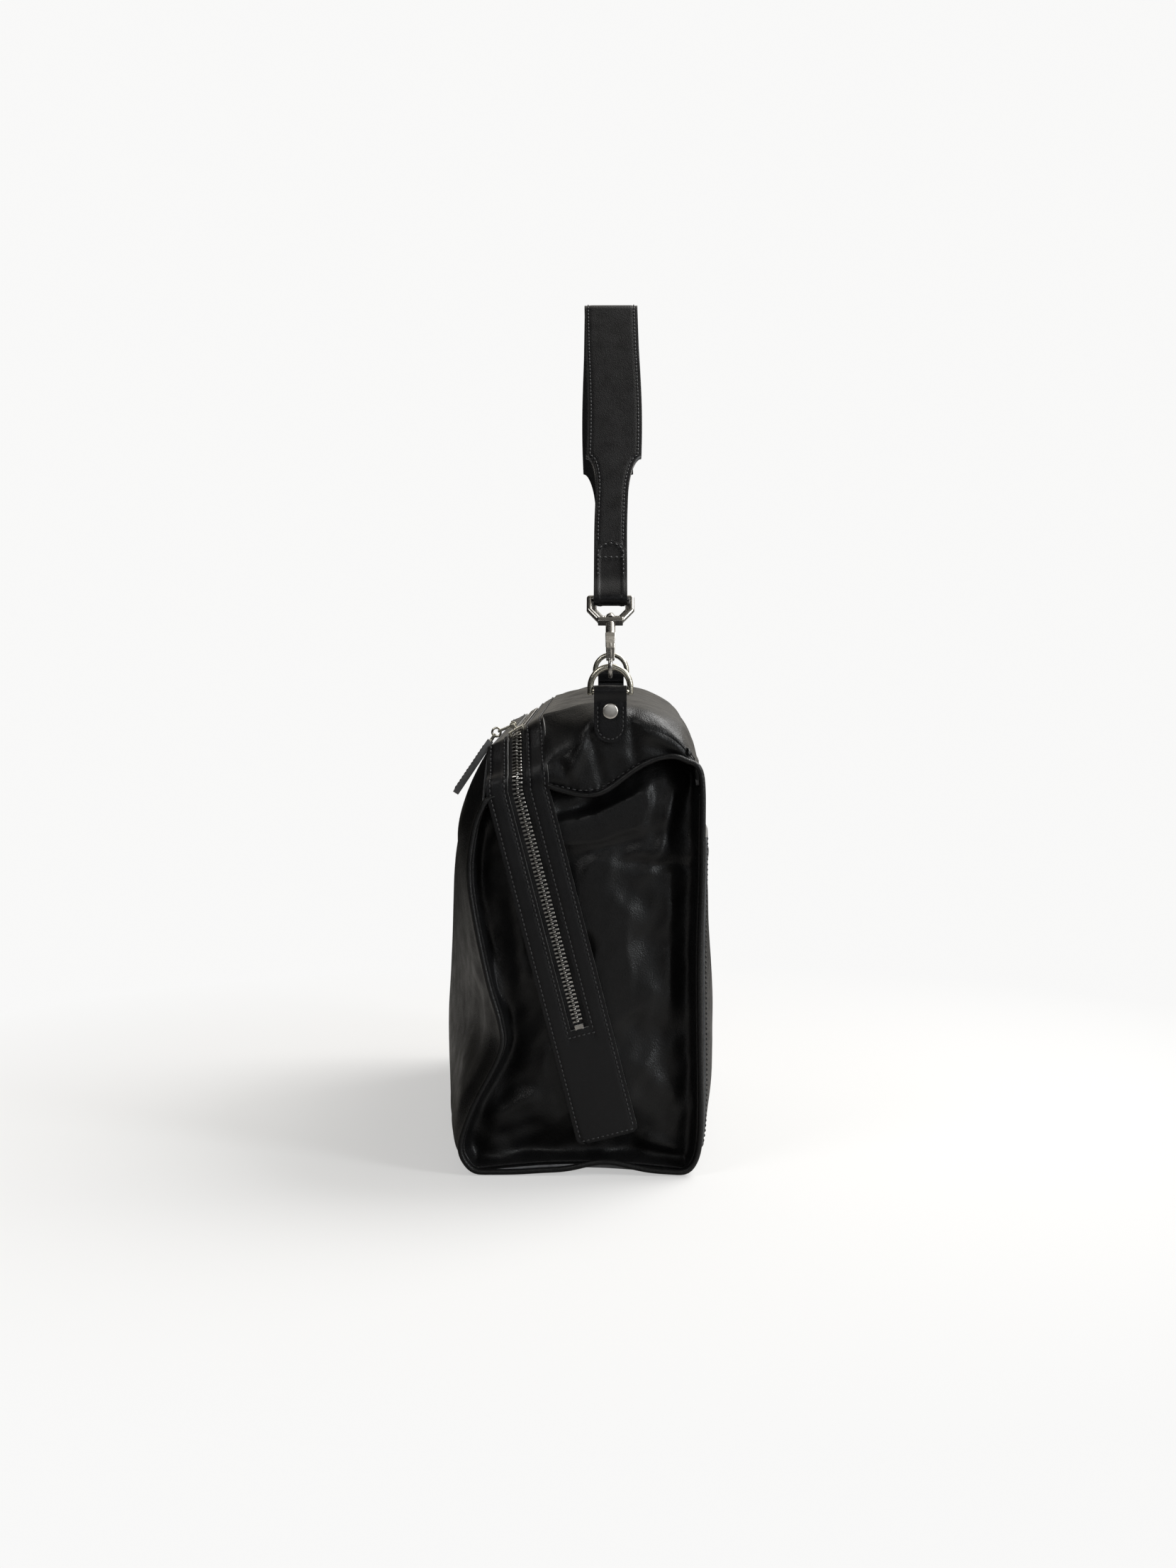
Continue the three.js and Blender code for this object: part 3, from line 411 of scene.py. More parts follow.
def new_material(name):
    material = bpy.data.materials.new(name)
    material.use_nodes = True
    nodes, links = material.node_tree.nodes, material.node_tree.links
    shader = nodes["Principled BSDF"]
    return material, nodes, links, shader


def position(nodes):
    return nodes.new("ShaderNodeTexCoord").outputs["Object"]


def noise(nodes, links, where, scale, detail=3.0, rough=0.55):
    texture = nodes.new("ShaderNodeTexNoise")
    texture.inputs["Scale"].default_value = scale
    texture.inputs["Detail"].default_value = detail
    texture.inputs["Roughness"].default_value = rough
    links.new(where, texture.inputs["Vector"])
    return texture.outputs["Fac"]


def ramp_value(nodes, links, value, low, high, out_low, out_high):
    mapping = nodes.new("ShaderNodeMapRange")
    for key, number in (("From Min", low), ("From Max", high), ("To Min", out_low), ("To Max", out_high)):
        mapping.inputs[key].default_value = number
    links.new(value, mapping.inputs["Value"])
    return mapping.outputs["Result"]


def colour_between(nodes, links, value, dark, light):
    mix = nodes.new("ShaderNodeMix")
    mix.data_type = "RGBA"
    mix.inputs[6].default_value = (*dark, 1)
    mix.inputs[7].default_value = (*light, 1)
    links.new(value, mix.inputs[0])
    return mix.outputs[2]


def bump(nodes, links, height, strength, distance_mm, below=None):
    node = nodes.new("ShaderNodeBump")
    node.inputs["Strength"].default_value = strength
    node.inputs["Distance"].default_value = distance_mm * MM
    links.new(height, node.inputs["Height"])
    if below is not None:
        links.new(below, node.inputs["Normal"])
    return node.outputs["Normal"]


def leather(name, dark, light, rough, grain_mm=0.9, grain_depth=0.12, crease_depth=0.25):
    """Pebbled leather: rounded cells, finer pores, long soft creases and uneven polish."""
    material, nodes, links, shader = new_material(name)
    where = position(nodes)
    mottle = noise(nodes, links, where, 38, 4)
    links.new(colour_between(nodes, links, mottle, dark, light), shader.inputs["Base Color"])
    polish = noise(nodes, links, where, 95, 3)
    polish = ramp_value(nodes, links, polish, 0.3, 0.7, rough - 0.05, rough + 0.09)
    links.new(polish, shader.inputs["Roughness"])
    warp = nodes.new("ShaderNodeTexNoise")
    warp.inputs["Scale"].default_value = 260
    links.new(where, warp.inputs["Vector"])
    bent = nodes.new("ShaderNodeVectorMath")
    bent.operation = "MULTIPLY_ADD"
    bent.inputs[1].default_value = (0.0011, 0.0011, 0.0011)
    links.new(warp.outputs["Color"], bent.inputs[0])
    links.new(where, bent.inputs[2])
    cells = nodes.new("ShaderNodeTexVoronoi")
    cells.feature = "SMOOTH_F1"
    cells.inputs["Smoothness"].default_value = 0.35
    cells.inputs["Scale"].default_value = 1 / (grain_mm * MM)
    links.new(bent.outputs[0], cells.inputs["Vector"])
    domes = ramp_value(nodes, links, cells.outputs["Distance"], 0.05, 0.75, 1, 0)
    pores = noise(nodes, links, where, 3600, 2)
    creases = noise(nodes, links, where, 70, 6, 0.62)
    normal = bump(nodes, links, creases, 0.5, crease_depth * 2)
    normal = bump(nodes, links, domes, 0.55, grain_depth, normal)
    normal = bump(nodes, links, pores, 0.25, grain_depth * 0.3, normal)
    links.new(normal, shader.inputs["Normal"])
    shader.inputs["Specular IOR Level"].default_value = 0.36
    return material


def smooth_finish(name, dark, light, rough, grain=240, depth=0.06):
    """Painted leather edge, thread or plastic: a fine uneven surface."""
    material, nodes, links, shader = new_material(name)
    where = position(nodes)
    value = noise(nodes, links, where, grain, 4)
    links.new(colour_between(nodes, links, value, dark, light), shader.inputs["Base Color"])
    polish = ramp_value(nodes, links, value, 0.3, 0.7, rough - 0.06, rough + 0.08)
    links.new(polish, shader.inputs["Roughness"])
    links.new(bump(nodes, links, value, 0.6, depth), shader.inputs["Normal"])
    return material


def metal(name, dark, light, rough):
    """Plated cast metal: faint cloudiness, fine scratches and wear."""
    material, nodes, links, shader = new_material(name)
    where = position(nodes)
    cloud = noise(nodes, links, where, 420, 4)
    links.new(colour_between(nodes, links, cloud, dark, light), shader.inputs["Base Color"])
    stretch = nodes.new("ShaderNodeMapping")
    stretch.inputs["Scale"].default_value = (500, 500, 4200)
    links.new(where, stretch.inputs["Vector"])
    scratches = noise(nodes, links, stretch.outputs["Vector"], 1, 3)
    wear = ramp_value(nodes, links, scratches, 0.3, 0.75, rough - 0.04, rough + 0.1)
    links.new(wear, shader.inputs["Roughness"])
    links.new(bump(nodes, links, scratches, 0.25, 0.02), shader.inputs["Normal"])
    shader.inputs["Metallic"].default_value = 1
    return material


def woven(name, dark, light, thread_mm=0.45, rough=0.85):
    """Woven cloth: two crossing wave patterns make the threads."""
    material, nodes, links, shader = new_material(name)
    where = position(nodes)
    waves = []
    for direction in ("X", "DIAGONAL"):
        wave = nodes.new("ShaderNodeTexWave")
        wave.wave_type = "BANDS"
        wave.bands_direction = direction
        wave.inputs["Scale"].default_value = 0.32 / (thread_mm * MM)
        wave.inputs["Distortion"].default_value = 0.6
        links.new(where, wave.inputs["Vector"])
        waves.append(wave.outputs["Fac"])
    product = nodes.new("ShaderNodeMath")
    product.operation = "MULTIPLY"
    links.new(waves[0], product.inputs[0])
    links.new(waves[1], product.inputs[1])
    links.new(colour_between(nodes, links, product.outputs[0], dark, light), shader.inputs["Base Color"])
    links.new(bump(nodes, links, product.outputs[0], 0.7, 0.2), shader.inputs["Normal"])
    shader.inputs["Roughness"].default_value = rough
    shader.inputs["Sheen Weight"].default_value = 0.2
    return material


GRAIN = leather("black_grain_leather", (0.003, 0.003, 0.0033), (0.006, 0.006, 0.0064), 0.42, grain_depth=0.2)
SMOOTH = leather("black_smooth_leather", (0.003, 0.003, 0.0036), (0.006, 0.006, 0.0072), 0.4,
                 grain_mm=0.7, grain_depth=0.12, crease_depth=0.08)
# Edge paint: black paint on the cut edges, made dark grey as a painted highlight so the edges read as lit lines.
EDGE_PAINT_AND_HIGHLIGHT = smooth_finish("painted_edge", (0.11, 0.112, 0.118), (0.2, 0.203, 0.21), 0.32)
# The zip facing's edges: black edge paint, made light grey as a painted highlight so they show as bright lines.
FACING_EDGE_PAINTED_HIGHLIGHT = smooth_finish("facing_edge_painted_highlight", (0.24, 0.238, 0.232), (0.4, 0.397, 0.388), 0.32)
# Black thread, lightened well above the leather's black as a painted highlight so the stitches show as light
# dashes.
THREAD_WITH_PAINTED_HIGHLIGHT = smooth_finish("thread", (0.028, 0.028, 0.029), (0.062, 0.062, 0.064), 0.4, grain=2600, depth=0.1)
GUNMETAL = metal("gunmetal", (0.42, 0.40, 0.33), (0.62, 0.59, 0.51), 0.26)
DARKMETAL = metal("dark_gunmetal", (0.36, 0.35, 0.33), (0.60, 0.58, 0.55), 0.27)
NICKEL = metal("nickel", (0.74, 0.70, 0.65), (0.95, 0.91, 0.86), 0.34)
TAPE = woven("zip_tape", (0.006, 0.006, 0.007), (0.028, 0.028, 0.030))
CLOTH = woven("lining_cloth", (0.03, 0.027, 0.023), (0.07, 0.063, 0.055), 0.7)
BOARD = smooth_finish("stiff_board", (0.05, 0.043, 0.035), (0.10, 0.088, 0.07), 0.8, grain=500, depth=0.15)


# ---- Body panels ----------------------------------------------------------------------------

def spaced(count, half, crowd=0.6):
    """x stations from -half to half, closer together near the ends."""
    u = np.linspace(-1, 1, count)
    return half * ((1 - crowd) * u + crowd * np.sin(u * math.pi / 2))


def panel_grid(outline, xs, ts):
    x, t = np.meshgrid(xs, ts, indexing="ij")
    yz = outline(x, t)
    return np.stack([x, yz[..., 0], yz[..., 1]], axis=-1)


def raised(grid, height, outside):
    """The grid moved out by height at each point, where its middle looks to `outside`."""
    sign = 1 if np.dot(middle_normal(grid), outside) > 0 else -1
    return grid + grid_normals(grid) * (height * sign)[..., None]


FRONT_FOLDS = [((158, 60), (140, 205), 12, 1.6), ((168, 30), (118, 66), 12, 1.8),
               ((172, 120), (128, 92), 11, -1.2), ((166, 212), (120, 196), 11, 1.3)]


def front_panel():
    xs, ts = spaced(150, BODY_HALF + 0.6), np.linspace(0.0, 1, 110)
    grid = panel_grid(front_at, xs, ts)
    x, z = grid[..., 0], grid[..., 2]
    inside = smoothstep(0, 16, BODY_HALF - np.abs(x)) * smoothstep(2, 22, z) * (1 - smoothstep(215, 250, z))
    height = 1.0 * ripple(x, z, 3, 150) + 0.25 * ripple(x, z, 4, 60)
    height = height + folded(np.abs(x), z, FRONT_FOLDS)
    grid = raised(grid, height * inside, (0, -1, 0))
    return leather_sheet("front_leather", grid, (0, -1, 0), GRAIN)


def back_panel():
    xs, ts = spaced(130, BODY_HALF + 0.6), np.linspace(0.0, 1, 80)
    grid = panel_grid(back_at, xs, ts)
    x, z = grid[..., 0], grid[..., 2]
    inside = smoothstep(0, 18, BODY_HALF - np.abs(x)) * smoothstep(200, 232, z)
    height = 0.8 * ripple(x, z, 8, 70) * inside
    grid = raised(grid, -np.abs(height), (0, 1, 0))
    return leather_sheet("back_leather", grid, (0, 1, 0), GRAIN)


def base_panel():
    xs, vs = spaced(70, BODY_HALF + 0.6), np.linspace(0, 1, 30)
    x, v = np.meshgrid(xs, vs, indexing="ij")
    front, back = front_at(x, 0 * v)[..., 0], back_at(x, 0 * v)[..., 0]
    lift = BASE_LIFT * np.sin(math.pi * v) * smoothstep(CORNER_START, BODY_HALF, np.abs(x))
    grid = np.stack([x, front + (back - front) * v, lift], axis=-1)
    return leather_sheet("base_leather", grid, (0, 0, -1), GRAIN)


POCKET_LOW, POCKET_HIGH = 0.231, 0.9      # share of the way up the back panel's outline
POCKET_THICK = 1.8


def pocket_panel():
    half = node_box("back_pocket")[1][0]
    xs, us = spaced(100, half), np.linspace(0, 1, 70)
    x, u = np.meshgrid(xs, us, indexing="ij")
    grid = panel_grid(back_at, xs, POCKET_LOW + (POCKET_HIGH - POCKET_LOW) * us)
    side = 1 - (np.abs(x) / half) ** 6
    gap = 0.4 + 6.0 * side * np.minimum(1, 2.4 * u) * (1 - 0.75 * smoothstep(0.5, 0.95, u)) + POCKET_THICK
    gap = gap + 0.5 * ripple(x, grid[..., 2], 21, 60) * side
    grid = raised(grid, gap, (0, 1, 0))
    piece = leather_sheet("pocket_leather", grid, (0, 1, 0), GRAIN, thick=POCKET_THICK)
    inset = 3
    rows = [stitch_row(line, (0, 1, 0))
            for line in (grid[inset, :], grid[-1 - inset, :], grid[:, inset], grid[:, -1 - inset])]
    return piece, stitch_rows("pocket_thread", rows, THREAD_WITH_PAINTED_HIGHLIGHT)


# ---- Top and end flaps ----------------------------------------------------------------------

END_FACE_X = 174.4
TUCK = 13


# Gathers that run from the tab down to the hem, and the tucks beside it.
FLAP_FOLDS = [((-9, 272), (-24, 236), 4.5, 3.0), ((-12, 262), (-4, 232), 3.5, -1.8),
              ((12, 272), (14, 246), 3.2, -1.9), ((14, 270), (40, 252), 4.5, 2.4),
              ((20, 256), (44, 250), 4.0, -1.6), ((-30, 246), (-22, 232), 3.0, -1.6)]


def top_rows(ts):
    """Rows from mid-length over the top, round the end's crest and down to the hem."""
    mid, end, hem = spline(TOP_MID_LINE)(ts), spline(TOP_END_LINE)(ts), spline(HEM_LINE)(ts)
    lower = end * 0.72 + hem * 0.28
    corner = end + (end - lower) * 0.16
    rows = [(x, mid) for x in np.linspace(0, CORNER_START, 44)]
    # The rolled corner: a quadratic curve from the top to the end face.
    for u in np.linspace(0, 1, 26)[1:]:
        a, b, c = (1 - u) ** 2, 2 * u * (1 - u), u * u
        x = a * CORNER_START + b * (END_FACE_X + 2.5) + c * END_FACE_X
        rows.append((x, a * mid + b * corner + c * lower))
    for v in np.linspace(0, 1, 34)[1:]:
        rows.append((END_FACE_X + 1.2 * math.sin(math.pi * v), lower + (hem - lower) * v))
    return np.array([np.column_stack([np.full(len(ts), x), yz]) for x, yz in rows])


def top_and_flaps():
    """One skin: over the top, rolled over each end's crest, and down to the puckered hem."""
    ts = np.linspace(0, 1, 96)
    half = top_rows(ts)
    x, y, z = half[..., 0], half[..., 1], half[..., 2]
    down = smoothstep(CORNER_START, END_FACE_X, x)
    tab_zone = np.exp(-((y / 10.5) ** 4)) * smoothstep(252, 258, z)
    hem_rows = np.linspace(0, 1, half.shape[0])[:, None]
    pucker = 0.5 * np.sin(y * 2 * math.pi / 4.6) * smoothstep(0.93, 1.0, hem_rows)
    pucker = pucker * (1 - smoothstep(8, 22, y))
    height = (folded(y, z, FLAP_FOLDS) + 0.55 * ripple(y, z, 5, 22)) * down * (1 - tab_zone)
    height = height * (1 - smoothstep(0.97, 1.0, hem_rows)) + pucker
    on_top = (1 - down) * (0.8 * ripple(x, y, 9, 60) + 0.3 * ripple(x, y, 10, 24))
    height = height + on_top * smoothstep(0, 0.12, ts)[None, :] * (1 - smoothstep(0.9, 1.0, ts))[None, :]
    half = raised(half, height, (0.5, 0, 1))
    under_tab = tab_zone * down > 0.5
    half[..., 0] = np.where(under_tab, np.minimum(half[..., 0], END_FACE_X + 0.8), half[..., 0])
    # The back edge tucks down inside the back panel, where it is sewn.
    edge = half[:, -1]
    reach = TUCK * (1 - 0.5 * smoothstep(166, END_FACE_X, edge[:, 0]))
    tuck = [edge + np.column_stack([0 * reach, 0.02 * k * reach, -reach * k / 5]) for k in range(1, 6)]
    whole = np.concatenate([half, np.stack(tuck, axis=1)], axis=1)
    grid = np.concatenate([whole[1:][::-1] * MIRROR, whole])
    skin = leather_sheet("top_leather", grid, (0, 0, 1), GRAIN, thick=1.8)
    rows = [stitch_row(half[-4, 4:60] * (side, 1, 1), (side, 0, 0)) for side in (-1, 1)]
    return skin, stitch_rows("hem_thread", rows, THREAD_WITH_PAINTED_HIGHLIGHT, pitch=3.4)


# ---- End gussets ----------------------------------------------------------------------------

def edge_y(points):
    """y of an end outline as a function of height."""
    curve = spline(points)(np.linspace(0, 1, 240))
    return lambda z: np.interp(z, curve[:, 1], curve[:, 0])


FRONT_EDGE_Y, BACK_EDGE_Y = edge_y(FRONT_END), edge_y(BACK_END)
GUSSET_TOP = [(0, 216), (.1, 226), (.25, 238), (.45, 250), (.7, 256), (.88, 252), (.93, 246), (1, 234)]
RECESS_DEPTH, BULGE_OUT = 16.5, 10.6
FOLD_GAIN = 1.25


def gusset_grid():
    across = np.linspace(0, 1, 130)
    across = 0.35 * across + 0.65 * (0.5 - 0.5 * np.cos(across * math.pi))
    up = np.linspace(0, 1, 190)
    up = np.where(up < 0.5, 0.7 * up + 0.3 * up * up * 2, up)
    u, v = np.meshgrid(across, up, indexing="ij")
    top = np.interp(u, [p[0] for p in GUSSET_TOP], [p[1] for p in GUSSET_TOP])
    low = 2.2 + BASE_LIFT * np.sin(math.pi * u)
    z = low + (top - low) * v
    left, right = FRONT_EDGE_Y(z) + 2.0, BACK_EDGE_Y(z) - 2.0
    y = left + (right - left) * u
    d_front, d_back, d_low = y - left, right - y, z - low
    nearest = -6 * np.log(np.exp(-d_front / 6) + np.exp(-d_back / 6) + np.exp(-d_low / 6))
    nearest = np.maximum(nearest, 0)
    inside = 1 - np.exp(-(np.minimum(np.minimum(d_front, d_back), d_low) / 2.8) ** 1.6)
    x = BODY_HALF - 1.5 - (RECESS_DEPTH - 2.3) * inside
    x = x + BULGE_OUT * (1 - np.exp(-(nearest / 21) ** 2.2))
    # The tuck under the flap's hem: the gusset falls away behind it.
    hem = spline(HEM_LINE)(np.linspace(0, 1, 200))
    hem_z = np.interp(y, hem[:, 0], hem[:, 1])
    x = x - 7.5 * smoothstep(-22, 4, z - hem_z)
    return x, y, z, inside


GUSSET_FOLDS = [
    ((-30, 200), (22, 222), 6.5, 4.4),      # the diagonal roll below the hem
    ((-34, 214), (-8, 219), 4.5, -3.0),
    ((-20, 190), (40, 206), 6.0, -2.6),
    ((30, 192), (39, 232), 4.2, 3.2),       # the pull up to the back corner
    ((22, 206), (27, 230), 4.2, -2.6),
    ((8, 186), (46, 183), 3.8, -2.2),       # crease across the back half
    ((35, 176), (36, 104), 5.0, 2.6),       # long roll beside the back edge
    ((20, 170), (22, 120), 8.0, -1.8),
    ((-2, 150), (6, 96), 10, 1.6),
    ((-60, 175), (-52, 110), 6.0, 2.4),     # roll in front of the zip facing
    ((-48, 84), (-30, 60), 9.0, 1.6),
    ((-74, 34), (-40, 48), 6.0, 2.6),       # corner folds at the foot
    ((-70, 20), (-40, 30), 5.0, -1.8),
    ((18, 20), (44, 12), 5.0, 2.4),
    ((14, 66), (38, 48), 8.0, 1.6),
    ((10, 92), (42, 84), 7.0, -1.2)]


def gussets():
    x, y, z, inside = gusset_grid()
    height = folded(y, z, GUSSET_FOLDS) + 1.2 * ripple(y, z, 12, 46) + 0.3 * ripple(y, z, 13, 18)
    x = x + height * smoothstep(0.55, 1.0, inside) * FOLD_GAIN
    near_strip = smoothstep(BODY_HALF - 6, BODY_HALF - 3.5, x)
    x = x - near_strip * (x - (BODY_HALF - 4.8)) * 0.9
    grid = np.stack([x, y, z], axis=-1)
    return [leather_sheet(f"gusset_leather_{word}", grid * (side, 1, 1), (side, 0, 0), GRAIN, thick=1.4)
            for side, word in ENDS]


# ---- Rims -----------------------------------------------------------------------------------

def rim_path():
    """Down the front edge, under the base, up the back and over into the flap's hem."""
    front = spline(FRONT_END)(np.linspace(0.985, 0.02, 60)) + np.array([1.0, 0])
    curl = spline([(-67.5, 225.4), (-71, 225), (-73.4, 222.8), front[0]])(np.linspace(0, 0.92, 8))
    front = np.concatenate([curl, front])
    low_y = np.linspace(front[-1][0] + 4, BACK_EDGE_Y(3) - 5, 24)
    v = (low_y - low_y[0]) / (low_y[-1] - low_y[0])
    wave = 0.25 * v + 1.35 * np.exp(-((v - 0.62) / 0.17) ** 2) + 0.2 * np.exp(-((v - 0.3) / 0.1) ** 2)
    wave = BASE_LIFT * wave * np.sin(math.pi * v) ** 0.6
    low = np.stack([low_y, 1.9 + wave], axis=1)
    back = spline(BACK_END)(np.linspace(0.03, 0.965, 60)) - np.array([1.0, 0])
    back[:, 1] = np.maximum(back[:, 1], 1.9)
    front[:, 1] = np.maximum(front[:, 1], 1.9)
    hem = spline(HEM_LINE)(np.linspace(0.93, 0.02, 50))
    turn = spline([back[-1], (53.2, 239.5), (49.5, 245.6), hem[0]])(np.linspace(0.1, 0.9, 12))
    yz = np.concatenate([front, low, back, turn, hem])
    x = np.full(len(yz), RIM_X)
    hem_start = len(front) + len(low) + len(back)
    x[hem_start:] = RIM_X - 0.6 * smoothstep(0, 20, np.arange(len(yz) - hem_start))
    return resample(np.column_stack([x, yz]), step=2.2)


def rims():
    path = eased(rim_path(), 3)
    section = [(1.7 * math.cos(a), 2.2 * math.sin(a)) for a in np.linspace(0, 2 * math.pi, 16, endpoint=False)]
    scales = np.ones(len(path))
    scales[:3] = (0.25, 0.45, 0.75)
    scales[-3:] = (0.95, 0.75, 0.3)
    return [sweep(f"rolled_rim_{word}", path * (side, 1, 1), section, GRAIN, up=(1, 0, 0), scales=scales)
            for side, word in ENDS]


# ---- Zip facing, zip and stitching ----------------------------------------------------------

STRIP_TOP = np.array([STRIP_END_X, -54.5, 229])
STRIP_FOOT = np.array([STRIP_END_X - 3.3, -1.1, 21.5])
STRIP_CORNER = [(176, 234.6), (173.6, 239.2), (169, 243), (163.6, 248.6), (158.4, 255.4), (154, 260.2),
                (STRIP_RUN - 3, STRIP_Z)]                   # x and z, from the end up onto the top
STRIP_FACE = (0, -0.5, 0.86)
TOP_ACROSS = np.array([0, math.cos(STRIP_SLOPE), math.sin(STRIP_SLOPE)])
END_ACROSS = np.array([0, 0.968, 0.25])
RAIL = STRIP_WIDTH / 2 - 2.3        # the outer and inner stitch lines, from the facing's middle
WINDOW_RAIL = WINDOW_HALF + 2.1


def strip_frames(step):
    """Points along the facing's middle, with the directions across it and out of it."""
    u = np.linspace(0, 1, 120)[:, None]
    run = STRIP_FOOT + (STRIP_TOP - STRIP_FOOT) * u
    v = np.linspace(0, 1, 90)[1:]
    xz = spline([STRIP_TOP[[0, 2]]] + STRIP_CORNER)(v)
    y = STRIP_TOP[1] + (STRIP_Y - STRIP_TOP[1]) * smoothstep(0, 1, v)
    half = np.concatenate([run, np.column_stack([xz[:, 0], y, xz[:, 1]])])
    turn = np.concatenate([np.zeros(len(run)), np.minimum(v / 0.75, 1)])
    points = np.concatenate([half, (half * MIRROR)[::-1]])
    turns = np.concatenate([turn, turn[::-1]])
    data = resample(points, step=step)
    lengths = np.concatenate([[0], np.cumsum(np.linalg.norm(np.diff(points, axis=0), axis=1))])
    even = np.linspace(0, lengths[-1], len(data))
    turn_even = smoothstep(0, 1, np.interp(even, lengths, turns))[:, None]
    tangent = unit(np.gradient(data, axis=0))
    across = unit(END_ACROSS * (1 - turn_even) + TOP_ACROSS * turn_even)
    across = unit(across - tangent * np.sum(across * tangent, axis=1, keepdims=True))
    out = unit(np.cross(tangent, across))
    if out[len(out) // 2][2] < 0:
        out = -out
    return data, across, out


def facing_profile(a):
    """How proud the leather stands across the facing: padded bands, pressed in at each seam."""
    half = STRIP_WIDTH / 2
    a = np.abs(a)
    distance = np.minimum(half - a, np.abs(a - WINDOW_HALF))
    seam = np.exp(-((RAIL - a) / 0.8) ** 2) + np.exp(-((a - WINDOW_RAIL) / 0.8) ** 2)
    return 0.45 * smoothstep(0, 5, distance) - 0.35 * seam


def below_window(points, height):
    return (points[:, 2] < height) & (np.abs(points[:, 0]) > STRIP_RUN)


def zip_facing():
    points, across, out = strip_frames(2.0)
    half = STRIP_WIDTH / 2
    band = np.linspace(WINDOW_HALF, half, 20)
    window = np.linspace(-WINDOW_HALF, WINDOW_HALF, 9)[1:-1]
    a = np.concatenate([-band[::-1], window, band])
    on_tail = below_window(points, WINDOW_END_Z)
    crown = np.tile(facing_profile(a), (len(points), 1))
    flat = 0.45 * smoothstep(0, 5, half - np.abs(a)) - 0.3 * np.exp(-((RAIL - np.abs(a)) / 0.8) ** 2)
    blend_tail = 1 - smoothstep(WINDOW_END_Z - 8, WINDOW_END_Z - 2, points[:, 2])
    crown = crown * (1 - blend_tail[:, None]) + flat[None, :] * blend_tail[:, None]
    # Square ends with small rounded corners.
    lengths = np.arange(len(points)) * polyline_length(points) / (len(points) - 1)
    to_end = np.minimum(lengths, lengths[-1] - lengths)
    radius = 3.0
    corner = np.maximum(radius - to_end, 0)
    pull_in = radius - np.sqrt(np.maximum(radius ** 2 - corner ** 2, 0))
    width = (half - pull_in) / half
    grid = (points[:, None, :] + across[:, None, :] * (a[None, :, None] * width[:, None, None])
            + out[:, None, :] * crown[..., None])
    columns = (a[:-1] + a[1:]) / 2
    in_window = np.abs(columns) < WINDOW_HALF
    row_open = ~(on_tail[:-1] | on_tail[1:])
    keep = ~(row_open[:, None] & in_window[None, :])
    # The facing's edges take the light grey of a painted highlight.
    piece = leather_sheet("zip_facing", grid, STRIP_FACE, SMOOTH, thick=STRIP_THICK, keep=keep,
                          edge=FACING_EDGE_PAINTED_HIGHLIGHT)
    open_rows = np.where(~on_tail)[0]
    first, last = open_rows[0] - 1, open_rows[-1] + 2

    def along(a_row, start, stop, lift):
        part = slice(start, stop)
        return points[part] + across[part] * a_row + out[part] * lift, out[part]

    def crosswise(k, reach, count, lift):
        line = np.linspace(-reach, reach, count)[:, None]
        return stitch_row(points[k] + across[k] * line + out[k] * lift, out[k])

    rows = [along(a_row, 2, -2, 0.15) for a_row in (-RAIL, RAIL)]
    rows += [along(a_row, first, last, 0.1) for a_row in (-WINDOW_RAIL, WINDOW_RAIL)]
    rows += [crosswise(k, WINDOW_RAIL + 1.1, 12, 0.3) for k in (first - 1, last)]
    rows += [crosswise(k, RAIL, 24, 0.2) for k in (1, len(points) - 2)]
    return piece, stitch_rows("facing_thread", rows, THREAD_WITH_PAINTED_HIGHLIGHT, pitch=2.9, length=2.4)


def tooth_mesh():
    """One metal zip tooth: a leg clamped on the tape, a narrow waist and a rounded head."""
    outline = [(3.0, -0.55), (3.0, 0.55), (1.5, 0.5), (0.9, 0.34), (0.2, 0.36), (-0.55, 0.5),
               (-0.85, 0.0), (-0.55, -0.5), (0.2, -0.36), (0.9, -0.34), (1.5, -0.5)]
    layers = [(-1.5, 0.86), (-1.1, 1.0), (0.0, 1.0), (0.32, 0.8), (0.42, 0.5)]
    centre = np.array([1.2, 0.0])
    verts = [((np.array(p) - centre) * s + centre, h) for h, s in layers for p in outline]
    verts = np.array([[p[0], p[1], h] for p, h in verts])
    return verts, tube_faces(len(layers), len(outline))


def zip_chain():
    points, across, out = strip_frames(TOOTH_PITCH / 2)
    tangent = unit(np.gradient(points, axis=0))
    shown = ~below_window(points, WINDOW_END_Z + 5)
    tooth, tooth_faces = tooth_mesh()
    pieces = []
    for side, word in ((-1, "front"), (1, "back")):
        verts, faces = [], []
        for k in np.where(shown)[0]:
            if (k % 2 == 0) == (side > 0):
                continue
            base = len(verts) * len(tooth)
            spot = (points[k] + np.outer(tooth[:, 0] * side, across[k]) + np.outer(tooth[:, 1], tangent[k])
                    + np.outer(tooth[:, 2] - 0.35, out[k]))
            verts.append(spot)
            faces += [[base + i for i in f] for f in tooth_faces]
        teeth = new_object(f"zip_teeth_{word}", np.concatenate(verts), faces, [DARKMETAL], smooth=False)
        pieces.append(outward(teeth))
    return pieces


def zip_tapes():
    points, across, out = strip_frames(3.0)
    shown = ~below_window(points, WINDOW_END_Z - 6)
    points, across, out = points[shown], across[shown], out[shown]
    pieces = []
    for side, word in ((-1, "front"), (1, "back")):
        a = np.linspace(0.25, 13.5, 10) * side
        bead = 0.5 * np.exp(-((np.abs(a) - 1.0) / 0.9) ** 2)
        grid = points[:, None] + across[:, None] * a[:, None] + out[:, None] * (bead - 2.35)[:, None]
        pieces.append(leather_sheet(f"tape_{word}", grid, STRIP_FACE, TAPE, thick=0.7, edge=TAPE, bevel=0.1))
    return pieces


# ---- Leather pull ---------------------------------------------------------------------------

